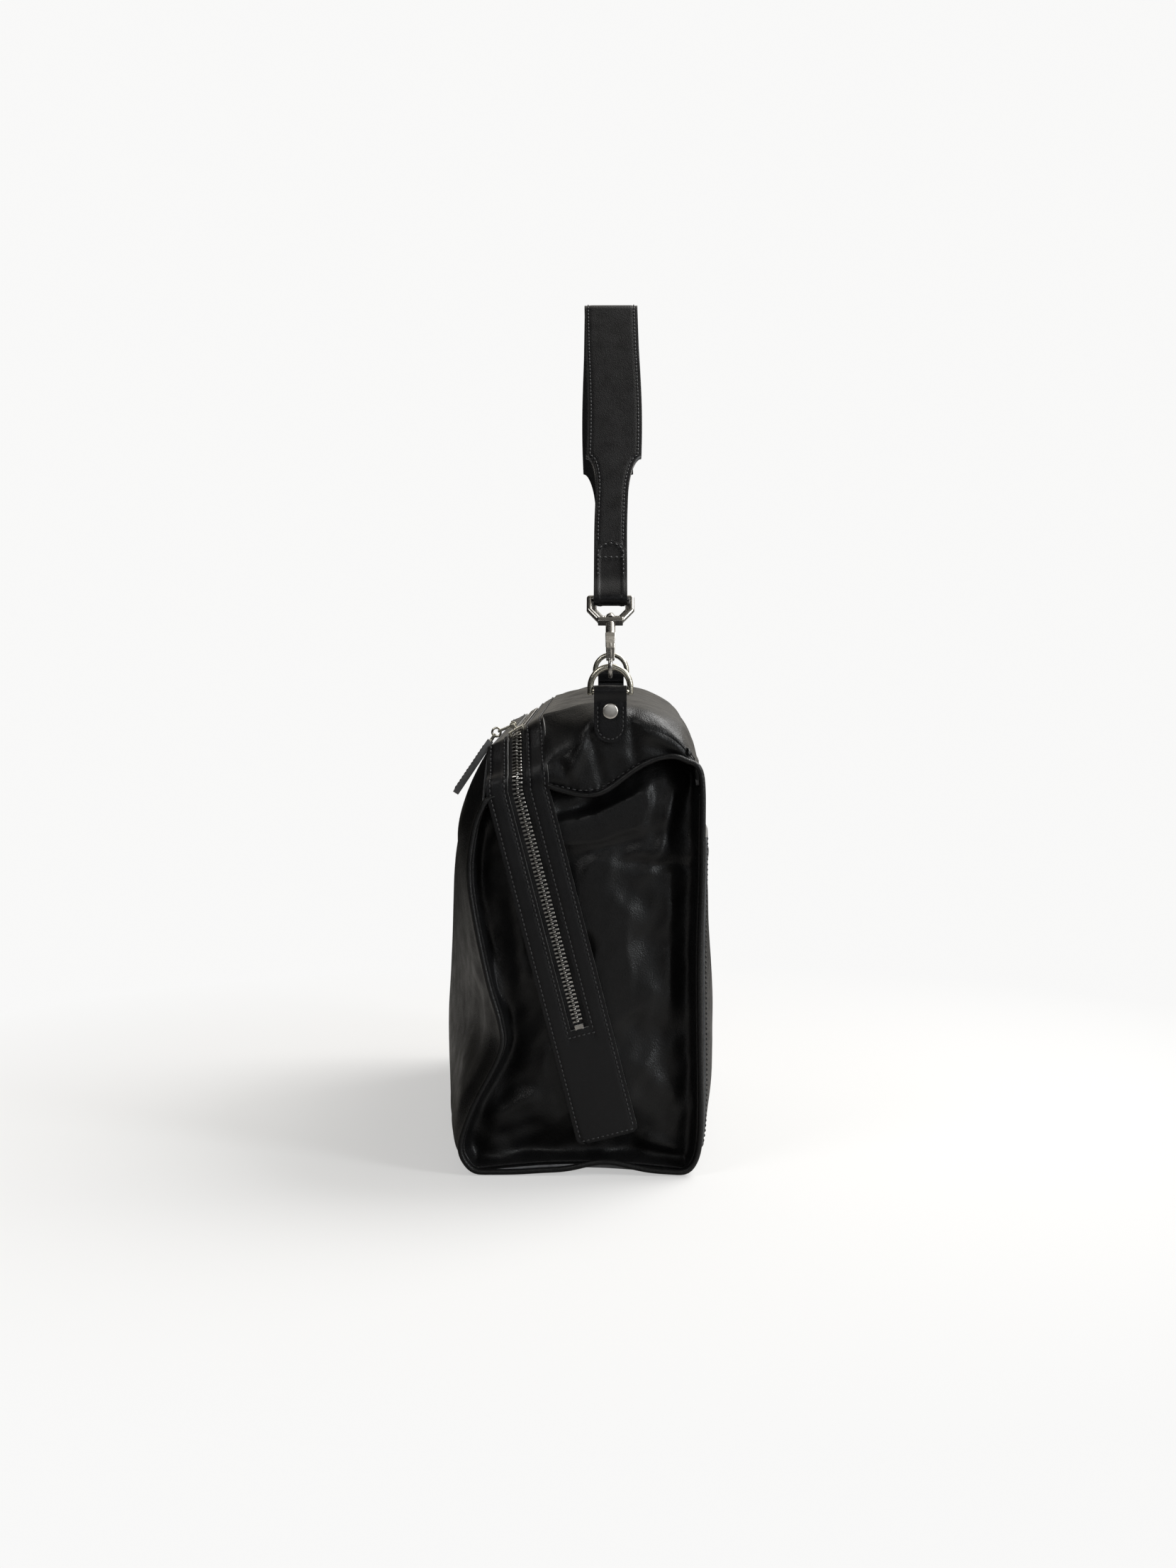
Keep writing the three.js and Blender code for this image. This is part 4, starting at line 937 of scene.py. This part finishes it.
PULL_SLOPE = math.radians(56)
PULL_THICK = 3.6
PULL_OUTLINE = [(6.2, 2.0), (8, 2.5), (12, 3.9), (16, 4.6), (24, 4.9), (34, 5.05), (40, 5.05), (42.6, 4.6),
                (43.7, 3.6), (44.0, 2.4)]     # distance from the ring's centre, half width


def pull_pieces():
    centre = sum(node_box("pull_ring")) / 2
    down = np.array([0, -math.cos(PULL_SLOPE), -math.sin(PULL_SLOPE)])
    face = np.array([0, -math.sin(PULL_SLOPE), math.cos(PULL_SLOPE)])
    wide = np.array([1.0, 0, 0])
    outline = resample(spline(PULL_OUTLINE)(np.linspace(0, 1, 200)), count=56)
    v = np.linspace(-1, 1, 19)
    grid = np.zeros((len(outline), len(v), 3))
    for i, (along, half) in enumerate(outline):
        edge = np.minimum(half * (1 - np.abs(v)), 44.0 - along)
        level = PULL_THICK / 2 + 0.3 * smoothstep(0, 2.6, edge) - 0.2 * np.exp(-((edge - 1.4) / 0.4) ** 2)
        grid[i] = centre + down * along + wide * (v * half)[:, None] + face * level[:, None]
    body = leather_sheet("leather_pull", grid, face, SMOOTH, thick=PULL_THICK, bevel=0.7)
    path = np.array([centre + down * a for a in np.linspace(1.2, 7.6, 12)])
    a = np.linspace(0.13, 6.41, 24)[:-1]
    section = np.stack([1.75 * np.sign(np.cos(a)) * np.abs(np.cos(a)) ** 0.5,
                        np.sign(np.sin(a)) * np.abs(np.sin(a)) ** 0.5], axis=1)
    collar = sweep("pull_collar", path, section, GUNMETAL, up=face,
                   scales=[.7, .92, 1, 1, 1, 1, 1, 1, 1.08, 1.15, 1.2, 1.22])
    inner = [(a, h - 1.4) for a, h in outline if 10 < a < 42]
    lift = face * (PULL_THICK / 2 + 0.15)
    rows = [stitch_row(np.array([centre + down * a + wide * side * h + lift for a, h in inner]), face)
            for side in (-1, 1)]
    thread = stitch_rows("pull_thread", rows, THREAD_WITH_PAINTED_HIGHLIGHT, pitch=2.4, length=1.9, radius=0.26)
    return body, collar, thread


# ---- Tabs, rivets and D-rings ---------------------------------------------------------------

TAB_THICK, TAB_SEAM = 1.4, 2.1
EYE = 3.4                            # reach of the eye round the bar
TAB_FRONT_X = TAB_HIGH[0] - (RING_X + EYE - (TAB_LOW[0] + 4.3))
TAB_BACK_X = TAB_LOW[0] + 1.3
TAB_HALF, TAB_FOOT, TAB_STRAIGHT = TAB_HIGH[1], TAB_LOW[2], 280.5


def tab_reach(half, z, least):
    """Half the tab's width at a height; the foot is round."""
    drop = max(TAB_FOOT + TAB_HALF - z, 0)
    return math.sqrt(max(half ** 2 - drop ** 2, least))


def ring_tab(side, word):
    """Leather folded over the ring's bar, two layers, with a rounded foot and a stitched border."""
    front_line = [(TAB_FRONT_X, z) for z in np.linspace(TAB_FOOT, TAB_STRAIGHT, 30)]
    blend_to_eye = [(TAB_FRONT_X + 0.5, 282.4), (TAB_FRONT_X + 1.5, 284.2), (RING_X + EYE, RING_BAR_Z)]
    arc = [(RING_X + EYE * math.cos(a), RING_BAR_Z + EYE * math.sin(a))
           for a in np.linspace(0.2, math.pi - 0.2, 14)]
    back_line = [(RING_X - EYE, RING_BAR_Z), (TAB_BACK_X - 0.4, 284.2), (TAB_BACK_X, 282.4),
                 (TAB_BACK_X, TAB_STRAIGHT)]
    line = np.array(front_line + blend_to_eye + arc + back_line)
    v = np.linspace(-1, 1, 31)
    grid = np.zeros((len(line), len(v), 3))
    for i, (x, z) in enumerate(line):
        on_front = i < len(front_line)
        reach = tab_reach(TAB_HALF, z, 1.0) if on_front else TAB_HALF
        grid[i] = np.column_stack([np.full(len(v), x), v * reach, np.full(len(v), z)])
        if on_front:
            distance = np.minimum(reach * (1 - np.abs(v)), z - TAB_FOOT + 0.2)
            crown = 0.35 * smoothstep(0.5, 4.5, distance)
            seam = 0.25 * np.exp(-((distance - TAB_SEAM) / 0.6) ** 2)
            dent = 0.3 * np.exp(-((v * reach) ** 2 + (z - RIVET_Z) ** 2) / 30.0)
            grid[i, :, 0] += crown - seam - dent
    flip = (side, 1, 1)
    outer = leather_sheet(f"tab_face_{word}", grid * flip, (side, 0, 0), SMOOTH, thick=TAB_THICK, bevel=0.4)
    # The inner layer, cut to the same outline.
    rows = [np.column_stack([np.full(len(v), TAB_BACK_X + TAB_THICK), v * tab_reach(TAB_HALF - 0.2, z, 1.0),
                             np.full(len(v), z)]) for z in np.linspace(TAB_FOOT + 0.2, 281.5, 26)]
    inner = leather_sheet(f"tab_back_{word}", np.array(rows) * flip, (side, 0, 0), SMOOTH, thick=TAB_THICK,
                          bevel=0.3)
    in_reach, foot_centre = TAB_HALF - TAB_SEAM, TAB_FOOT + TAB_HALF
    path = [(-in_reach, z) for z in np.linspace(RIVET_Z + 3, foot_centre, 14)]
    path += [(in_reach * math.cos(a), foot_centre + in_reach * math.sin(a))
             for a in np.linspace(math.pi, 2 * math.pi, 24)[1:-1]]
    path += [(in_reach, z) for z in np.linspace(foot_centre, RIVET_Z + 3, 14)]
    row = stitch_row([(side * (TAB_FRONT_X + 0.1), y, z) for y, z in path], (side, 0, 0))
    return outer, inner, stitch_rows(f"tab_thread_{word}", [row], THREAD_WITH_PAINTED_HIGHLIGHT, pitch=2.6, length=2.1, radius=0.36)


def rivet(side, word):
    face = RIVET_FACE - 2.1
    profile = [(0.01, -3), (1.35, -3), (1.4, 0), (4.3, 0), (4.5, 0.25), (4.5, 1.1), (4.42, 1.4), (4.2, 1.62),
               (3.9, 1.74), (3.0, 1.84), (2.0, 1.9), (1.0, 1.94), (0.01, 1.95)]
    return lathe(f"rivet_cap_{word}", profile, (side * face, 0, RIVET_Z), (side, 0, 0), NICKEL)


def d_ring(side, word):
    leg = [(RING_HALF, z) for z in np.linspace(RING_LEG_END_Z, RING_BOW_Z, 8)]
    bow = [(RING_HALF * math.cos(a), RING_BOW_Z + RING_HALF * math.sin(a))
           for a in np.linspace(0, math.pi, 40)[1:-1]]
    other = [(-RING_HALF, z) for z in np.linspace(RING_BOW_Z, RING_LEG_END_Z, 8)]
    path = np.array([(side * RING_X, y, z) for y, z in leg + bow + other])
    scales = np.ones(len(path))
    scales[0] = scales[-1] = 0.86
    wire = sweep(f"ring_wire_{word}", path, circle(RING_WIRE, 24), GUNMETAL, up=(1, 0, 0), scales=scales)
    bar_path = np.array([(side * RING_X, y, RING_BAR_Z) for y in np.linspace(-RING_HALF, RING_HALF, 8)])
    bar = sweep(f"ring_bar_{word}", bar_path, circle(RING_WIRE - 0.15, 20), GUNMETAL, up=(1, 0, 0))
    return joined(f"d_ring_wire_{word}", [wire, bar])


# ---- Strap ----------------------------------------------------------------------------------

STRAP_UP = np.array([-math.sin(HOOK_LEAN), math.cos(HOOK_LEAN)])
STRAP_OUT = np.array([math.cos(HOOK_LEAN), math.sin(HOOK_LEAN)])
LOOP_POINT = np.array([RING_X, RING_BOW_Z + RING_HALF]) + STRAP_UP * LOOP_BAR
CORNER_ALONG = LOOP_POINT[0] / math.sin(HOOK_LEAN)
BOW_LOW, BOW_HIGH, STRAP_BOW = 375, 531, 2.4     # heights between which the strap bows, and how far


def strap_width(along):
    u = np.clip((along - TAPER_START) / (SHOULDER - TAPER_START), 0, 1)
    return STRAP_NARROW + (STRAP_WIDE - STRAP_NARROW) * (1 - np.sqrt(np.maximum(1 - u * u, 0)))


def strap_side(offset, start):
    """The near side of a strap layer in [x, z], then the fold at the top."""
    along = np.concatenate([np.arange(start, 96, 2.5), np.arange(96, SHOULDER, 0.8), [SHOULDER - 0.15, SHOULDER],
                            np.arange(SHOULDER + 2, 204, 2.5)])
    line = LOOP_POINT + np.outer(along, STRAP_UP) + STRAP_OUT * offset
    normals = np.tile(STRAP_OUT, (len(along), 1))
    centre_along = CORNER_ALONG - APEX_RADIUS * math.tan(math.pi / 2 - HOOK_LEAN)
    centre = LOOP_POINT + STRAP_UP * centre_along - STRAP_OUT * APEX_RADIUS
    centre[0] = 0
    angles = np.linspace(math.atan2(STRAP_OUT[1], STRAP_OUT[0]), math.pi / 2, 14)
    round_normals = np.stack([np.cos(angles), np.sin(angles)], axis=1)
    fold = centre + round_normals * (APEX_RADIUS + offset)
    widths = np.concatenate([strap_width(along), np.full(len(angles), STRAP_WIDE)])
    return np.concatenate([line, fold]), np.concatenate([normals, round_normals]), widths


def folded_end(offset):
    """The tongue on the outside, then round the loop's bar and back to the inside."""
    radius = LOOP_WIRE + 0.4 + STRAP_LAYER / 2
    spots = []
    reach = STRAP_NARROW / 2
    round_end = [0, 0.3, 0.8, 1.6, 2.8, 4.4, 6.4, 8.5]
    for back in np.concatenate([round_end, np.arange(10, TONGUE_LENGTH - 15, 2.5)]):
        half = math.sqrt(max(reach ** 2 - max(reach - back, 0) ** 2, 4.0))
        spots.append((TONGUE_LENGTH - back, offset, -STRAP_OUT, 2 * half))

    def spread(along):
        """The two layers part gently to go round the bar."""
        return offset + (radius - offset) * (1 - float(smoothstep(0, 15, along)))

    for along in np.arange(13.5, 0.5, -1.5):
        spots.append((along, spread(along), -STRAP_OUT, STRAP_NARROW))
    for angle in np.linspace(0, math.pi, 16):
        normal = -math.cos(angle) * STRAP_OUT + math.sin(angle) * STRAP_UP
        spots.append((-radius * math.sin(angle), radius * math.cos(angle), normal, STRAP_NARROW))
    for along in np.arange(1.5, 12, 1.5):
        spots.append((along, -spread(along), STRAP_OUT, STRAP_NARROW))
    points = np.array([LOOP_POINT + STRAP_UP * a + STRAP_OUT * o for a, o, _, _ in spots])
    return points, np.array([s[2] for s in spots]), np.array([s[3] for s in spots])


def strap_bow(x, z):
    """The strap bows a little sideways: to the back on its near side, forward on its far side."""
    swing = np.sin(math.pi * np.clip((z - BOW_LOW) / (BOW_HIGH - BOW_LOW), 0, 1)) ** 2
    return STRAP_BOW * np.sign(x) * swing


def mirrored_strap(points, normals, widths):
    flip = np.array([-1, 1])
    return (np.concatenate([points, points[:-1][::-1] * flip]),
            np.concatenate([normals, normals[:-1][::-1] * flip]),
            np.concatenate([widths, widths[:-1][::-1]]))


def strap_grid(points, normals, widths, level, columns, crown=0.0):
    v = np.linspace(-1, 1, columns)
    grid = np.zeros((len(points), columns, 3))
    edge = (1 - np.abs(v))[None, :] * widths[:, None] / 2
    puff = crown * smoothstep(0, 5, edge) - 0.28 * (crown > 0) * np.exp(-((edge - 2.4) / 0.7) ** 2)
    for k, part in enumerate((0, 2)):
        grid[..., part] = (points[:, k] + normals[:, k] * level)[:, None] + normals[:, k][:, None] * puff
    grid[..., 1] = v[None, :] * widths[:, None] / 2 + strap_bow(points[:, 0], points[:, 1])[:, None]
    return grid


def strap():
    layer = STRAP_LAYER / 2 + 0.2
    end_points, end_normals, end_widths = folded_end(layer)
    side_points, side_normals, side_widths = strap_side(-layer, 13)
    points = np.concatenate([end_points, side_points])
    normals = np.concatenate([end_normals, side_normals])
    widths = np.concatenate([end_widths, side_widths])
    points, normals, widths = mirrored_strap(points, normals, widths)
    grid = strap_grid(points, normals, widths, STRAP_LAYER / 2, 35, crown=0.3)
    outer = leather_sheet("strap_leather", grid, (0, 0, 1), SMOOTH, thick=STRAP_LAYER - 0.3, bevel=0.5)
    offset = -layer - STRAP_LAYER / 2 - 0.15 - LINING_LAYER / 2
    lining_line = mirrored_strap(*strap_side(offset, 16))
    lining_grid = strap_grid(*lining_line, LINING_LAYER / 2, 17)
    under = leather_sheet("strap_backing", lining_grid, (0, 0, 1), SMOOTH, thick=LINING_LAYER, bevel=0.3)
    return outer, under, strap_thread(layer)


TONGUE_RAIL = 7.6


def strap_thread(layer):
    rows = []
    main, normals, widths = mirrored_strap(*strap_side(-layer, 44))
    lift = STRAP_LAYER / 2 + 0.12
    for side in (-1, 1):
        y = side * (widths / 2 - 2.4) + strap_bow(main[:, 0], main[:, 1])
        line = np.stack([main[:, 0] + normals[:, 0] * lift, y, main[:, 1] + normals[:, 1] * lift], axis=1)
        rows.append((line, np.stack([normals[:, 0], 0 * y, normals[:, 1]], axis=1)))
    top = layer + STRAP_LAYER / 2 + 0.12
    turn = TONGUE_LENGTH - 10
    lines = [[(a, side * TONGUE_RAIL) for a in np.linspace(15, turn, 16)] for side in (-1, 1)]
    lines.append([(turn + TONGUE_RAIL * math.sin(a), TONGUE_RAIL * math.cos(a))
                  for a in np.linspace(0, math.pi, 20)])
    lines.append([(29, y) for y in np.linspace(-8.4, 8.4, 12)])
    for flip in (1, -1):
        for line in lines:
            spots = [LOOP_POINT + STRAP_UP * along + STRAP_OUT * top for along, _ in line]
            rows.append(stitch_row([(flip * p[0], y, p[1]) for p, (_, y) in zip(spots, line)],
                                   (flip * STRAP_OUT[0], 0, STRAP_OUT[1])))
    return stitch_rows("strap_thread", rows, THREAD_WITH_PAINTED_HIGHLIGHT, pitch=3.0, length=2.5)


# ---- Building and riding --------------------------------------------------------------------

def build_body():
    place(front_panel(), "bag", "black_leather", "front_panel")
    place(back_panel(), "bag", "black_leather", "back_panel")
    place(base_panel(), "bag", "black_leather", "base_panel")
    pocket, pocket_thread = pocket_panel()
    place(pocket, "bag", "black_leather", "back_pocket")
    place(pocket_thread, "bag", "black_leather")
    skin, hem_thread = top_and_flaps()
    place(skin, "bag", "black_leather", "top_panel", "end_flap_near", "end_flap_far")
    place(hem_thread, "bag", "black_leather")
    for piece, word in zip(gussets(), ("near", "far")):
        place(piece, "bag", "black_leather", f"end_gusset_{word}")
    for piece, word in zip(rims(), ("near", "far")):
        place(piece, "bag", "black_leather", f"rim_{word}")


def build_zip():
    facing, thread = zip_facing()
    place(facing, "bag", "black_leather", "zip_band_front", "zip_band_back", "zip_tail_near",
          "zip_tail_far")
    place(thread, "bag", "black_leather")
    for piece, word in zip(zip_chain(), ("front", "back")):
        place(piece, "bag", "gunmetal", f"zip_chain_{word}")
    for piece, word in zip(zip_tapes(), ("front", "back")):
        place(piece, "bag", "zip_tape", f"zip_tape_{word}")
    for node, name, material, voxel, rounds, body in (
            ("zip_stop_near", "stop_near", DARKMETAL, 0.2, 3, "bag"),
            ("zip_stop_far", "stop_far", DARKMETAL, 0.2, 3, "bag"),
            ("slider", "slider_cast", GUNMETAL, 0.22, 4, "slider"),
            ("pull_link", "link_cast", GUNMETAL, 0.2, 3, "pull"),
            ("pull_ring", "ring_cast", GUNMETAL, 0.16, 4, "pull")):
        place(cast_copy(node, name, material, voxel, rounds), body, "gunmetal", node)
    leather_pull, collar, pull_thread = pull_pieces()
    place(leather_pull, "pull_tab", "black_leather", "pull_tab")
    place(collar, "pull_tab", "gunmetal")
    place(pull_thread, "pull_tab", "black_leather")


def build_hardware():
    for side, word in ENDS:
        outer, inner, thread = ring_tab(side, word)
        place(outer, "bag", "black_leather", f"ring_tab_{word}")
        place(inner, "bag", "black_leather")
        place(thread, "bag", "black_leather")
        place(rivet(side, word), "bag", "nickel", f"tab_rivet_{word}")
        place(d_ring(side, word), f"d_ring_{word}", "gunmetal", f"d_ring_{word}")
        for node, name, material, voxel, rounds, body, slot in (
                ("hook", "hook_cast", DARKMETAL, 0.25, 4, f"hook_{word}", "gunmetal"),
                ("hook_gate", "gate_cast", DARKMETAL, 0.2, 4, f"gate_{word}", "gunmetal"),
                ("gate_pin", "pin_cast", NICKEL, 0.14, 2, f"hook_{word}", "nickel"),
                ("swivel_loop", "loop_cast", DARKMETAL, 0.25, 5, "strap", "gunmetal")):
            cast = cast_copy(f"{node}_{word}", f"{name}_{word}", material, voxel, rounds)
            place(cast, body, slot, f"{node}_{word}")


def build_strap():
    outer, under, thread = strap()
    place(outer, "strap", "black_leather", "shoulder_strap")
    place(under, "strap", "painted_edge", "strap_lining")
    place(thread, "strap", "black_leather")


def inset_outline(outline, x, ts, depth, side):
    """Points of a body outline at one x, moved into the bag by depth."""
    yz = outline(np.full(len(ts), float(x)), ts)
    along = unit(np.gradient(yz, axis=0))
    return yz + np.stack([-along[:, 1], along[:, 0]], axis=1) * side * depth


LINING_HALF, LINING_DEPTH, LINING_FLOOR = 159, 3.7, 5.0


def lining_sheet():
    """The fabric lining: one cloth down the front, over the base board and up the back."""
    rows = []
    for x in spaced(44, LINING_HALF):
        front = inset_outline(front_at, x, np.linspace(0.12, 0.9, 44), LINING_DEPTH, -1)[::-1]
        back = inset_outline(back_at, x, np.linspace(0.16, 0.96, 40), LINING_DEPTH, 1)
        base_y = np.linspace(front[-1][0], back[0][0], 20)[1:-1]
        base = np.stack([base_y, np.full(len(base_y), LINING_FLOOR)], axis=1)
        line = np.concatenate([front, base, back])
        line = resample(eased(line, 4), count=90)
        rows.append(np.column_stack([np.full(len(line), x), line]))
    grid = np.array(rows)
    piece = leather_sheet("lining_cloth", grid, (0, 0, -1), CLOTH, thick=0.8, edge=CLOTH, bevel=0.1)
    return piece


def finish_hidden_parts():
    place(lining_sheet(), "bag", "lining_cloth", "lining")
    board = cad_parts["base_board"]
    board.data.materials.clear()
    board.data.materials.append(BOARD)


# ---- Stage ----------------------------------------------------------------------------------

CAMERA_DISTANCE = 1.30            # from the near D-ring, in metres
CAMERA_HEIGHT = 0.334
CAMERA_TURN = math.radians(0.64)
CAMERA_PITCH = math.radians(4.45)
FOCAL_SHARE = 1.42315             # focal length over the picture's height
SENSOR = 36


def camera():
    data = bpy.data.cameras.new("camera")
    data.sensor_fit = "VERTICAL"
    data.sensor_height = SENSOR
    data.lens = SENSOR * FOCAL_SHARE
    data.clip_end = 100
    obj = bpy.data.objects.new("camera", data)
    obj.location = (RING_X * MM + CAMERA_DISTANCE, 0.0015, CAMERA_HEIGHT)
    obj.rotation_euler = (math.pi / 2 - CAMERA_PITCH, 0, math.pi / 2 + CAMERA_TURN)
    bpy.context.scene.collection.objects.link(obj)
    bpy.context.scene.camera = obj


def area_light(name, where, aim, size, power, tint=(1, 1, 1)):
    data = bpy.data.lights.new(name, "AREA")
    data.shape = "RECTANGLE"
    data.size, data.size_y = size
    data.energy = power
    data.color = tint
    obj = bpy.data.objects.new(name, data)
    obj.location = where
    direction = Vector(aim) - Vector(where)
    obj.rotation_euler = direction.to_track_quat("-Z", "Y").to_euler()
    bpy.context.scene.collection.objects.link(obj)
    return obj


SWEEP_NEAR, SWEEP_FAR = 0.55, 0.95   # distances from the bag, in metres
MELT_NEAR, MELT_FAR = 0.25, 0.62
BACKGROUND = (0.945, 0.943, 0.938)
PAPER = (0.86, 0.855, 0.845)
BOUNCED_PAPER = (0.42, 0.41, 0.395)


def stage():
    floor_material, nodes, links, shader = new_material("pale_floor")
    shader.inputs["Roughness"].default_value = 0.8
    shader.inputs["Specular IOR Level"].default_value = 0.1
    length = nodes.new("ShaderNodeVectorMath")
    length.operation = "LENGTH"
    links.new(position(nodes), length.inputs[0])
    distance = length.outputs["Value"]
    # The bag's leather only mirrors a pale sweep close round it, as in a darkened studio.
    sweep_edge = ramp_value(nodes, links, distance, SWEEP_NEAR, SWEEP_FAR, 0, 1)
    seen_directly = nodes.new("ShaderNodeLightPath").outputs["Is Camera Ray"]
    bounced = colour_between(nodes, links, sweep_edge, BOUNCED_PAPER, (0.02, 0.02, 0.02))
    paper = nodes.new("ShaderNodeMix")
    paper.data_type = "RGBA"
    links.new(seen_directly, paper.inputs[0])
    links.new(bounced, paper.inputs[6])
    paper.inputs[7].default_value = (*PAPER, 1)
    links.new(paper.outputs[2], shader.inputs["Base Color"])
    # To the eye the floor melts into the background, so that no horizon shows.
    melt = ramp_value(nodes, links, distance, MELT_NEAR, MELT_FAR, 0.5, 1)
    seen_floor = nodes.new("ShaderNodeMath")
    seen_floor.operation = "MULTIPLY"
    links.new(melt, seen_floor.inputs[0])
    links.new(seen_directly, seen_floor.inputs[1])
    glow = nodes.new("ShaderNodeEmission")
    glow.inputs["Color"].default_value = (*BACKGROUND, 1)
    blend = nodes.new("ShaderNodeMixShader")
    links.new(seen_floor.outputs[0], blend.inputs[0])
    links.new(shader.outputs[0], blend.inputs[1])
    links.new(glow.outputs[0], blend.inputs[2])
    links.new(blend.outputs[0], nodes["Material Output"].inputs["Surface"])
    size, level = 12000, -0.2
    corners = [(-size, -size, level), (size, -size, level), (size, size, level), (-size, size, level)]
    floor = new_object("floor", corners, [[0, 1, 2, 3]], [floor_material], smooth=False)
    world = bpy.data.worlds.new("studio")
    bpy.context.scene.world = world
    world.use_nodes = True
    tree = world.node_tree
    background = tree.nodes["Background"]
    direction = tree.nodes.new("ShaderNodeTexCoord")
    # Bright above and behind the bag, darker from where the picture is taken.
    tilt = tree.nodes.new("ShaderNodeVectorMath")
    tilt.operation = "DOT_PRODUCT"
    tilt.inputs[1].default_value = (-0.72, 0.9, 0.34)
    tree.links.new(direction.outputs["Generated"], tilt.inputs[0])
    total = ramp_value(tree.nodes, tree.links, tilt.outputs["Value"], 0.05, 0.58, 0.01, 1.0)
    light_path = tree.nodes.new("ShaderNodeLightPath")
    seen = tree.nodes.new("ShaderNodeMix")
    seen.data_type = "RGBA"
    tree.links.new(light_path.outputs["Is Camera Ray"], seen.inputs[0])
    warm = colour_between(tree.nodes, tree.links, total, (0.0, 0.0, 0.0), (0.6, 0.566, 0.505))
    tree.links.new(warm, seen.inputs[6])
    seen.inputs[7].default_value = (*BACKGROUND, 1)
    tree.links.new(seen.outputs[2], background.inputs["Color"])
    background.inputs["Strength"].default_value = 1.0
    area_light("overhead", (-0.7, 1.2, 1.9), (0, -0.1, 0), (1.5, 1.5), 52)
    area_light("front_softbox", (2.3, 0.3, 0.72), (0.17, 0, 0.2), (0.9, 0.7), 2.4, (0.95, 0.98, 1.0))
    area_light("crest_softbox", (0.8, -0.55, 0.95), (0.17, 0, 0.22), (0.4, 0.4), 2.4, (1.0, 0.99, 0.97))
    area_light("side_softbox", (1.05, 1.5, 0.8), (0.17, 0, 0.17), (0.4, 0.9), 15, (0.93, 0.97, 1.0))
    bpy.context.scene.view_settings.view_transform = "Standard"


camera()
stage()
build_body()
build_zip()
build_hardware()
build_strap()
finish_hidden_parts()
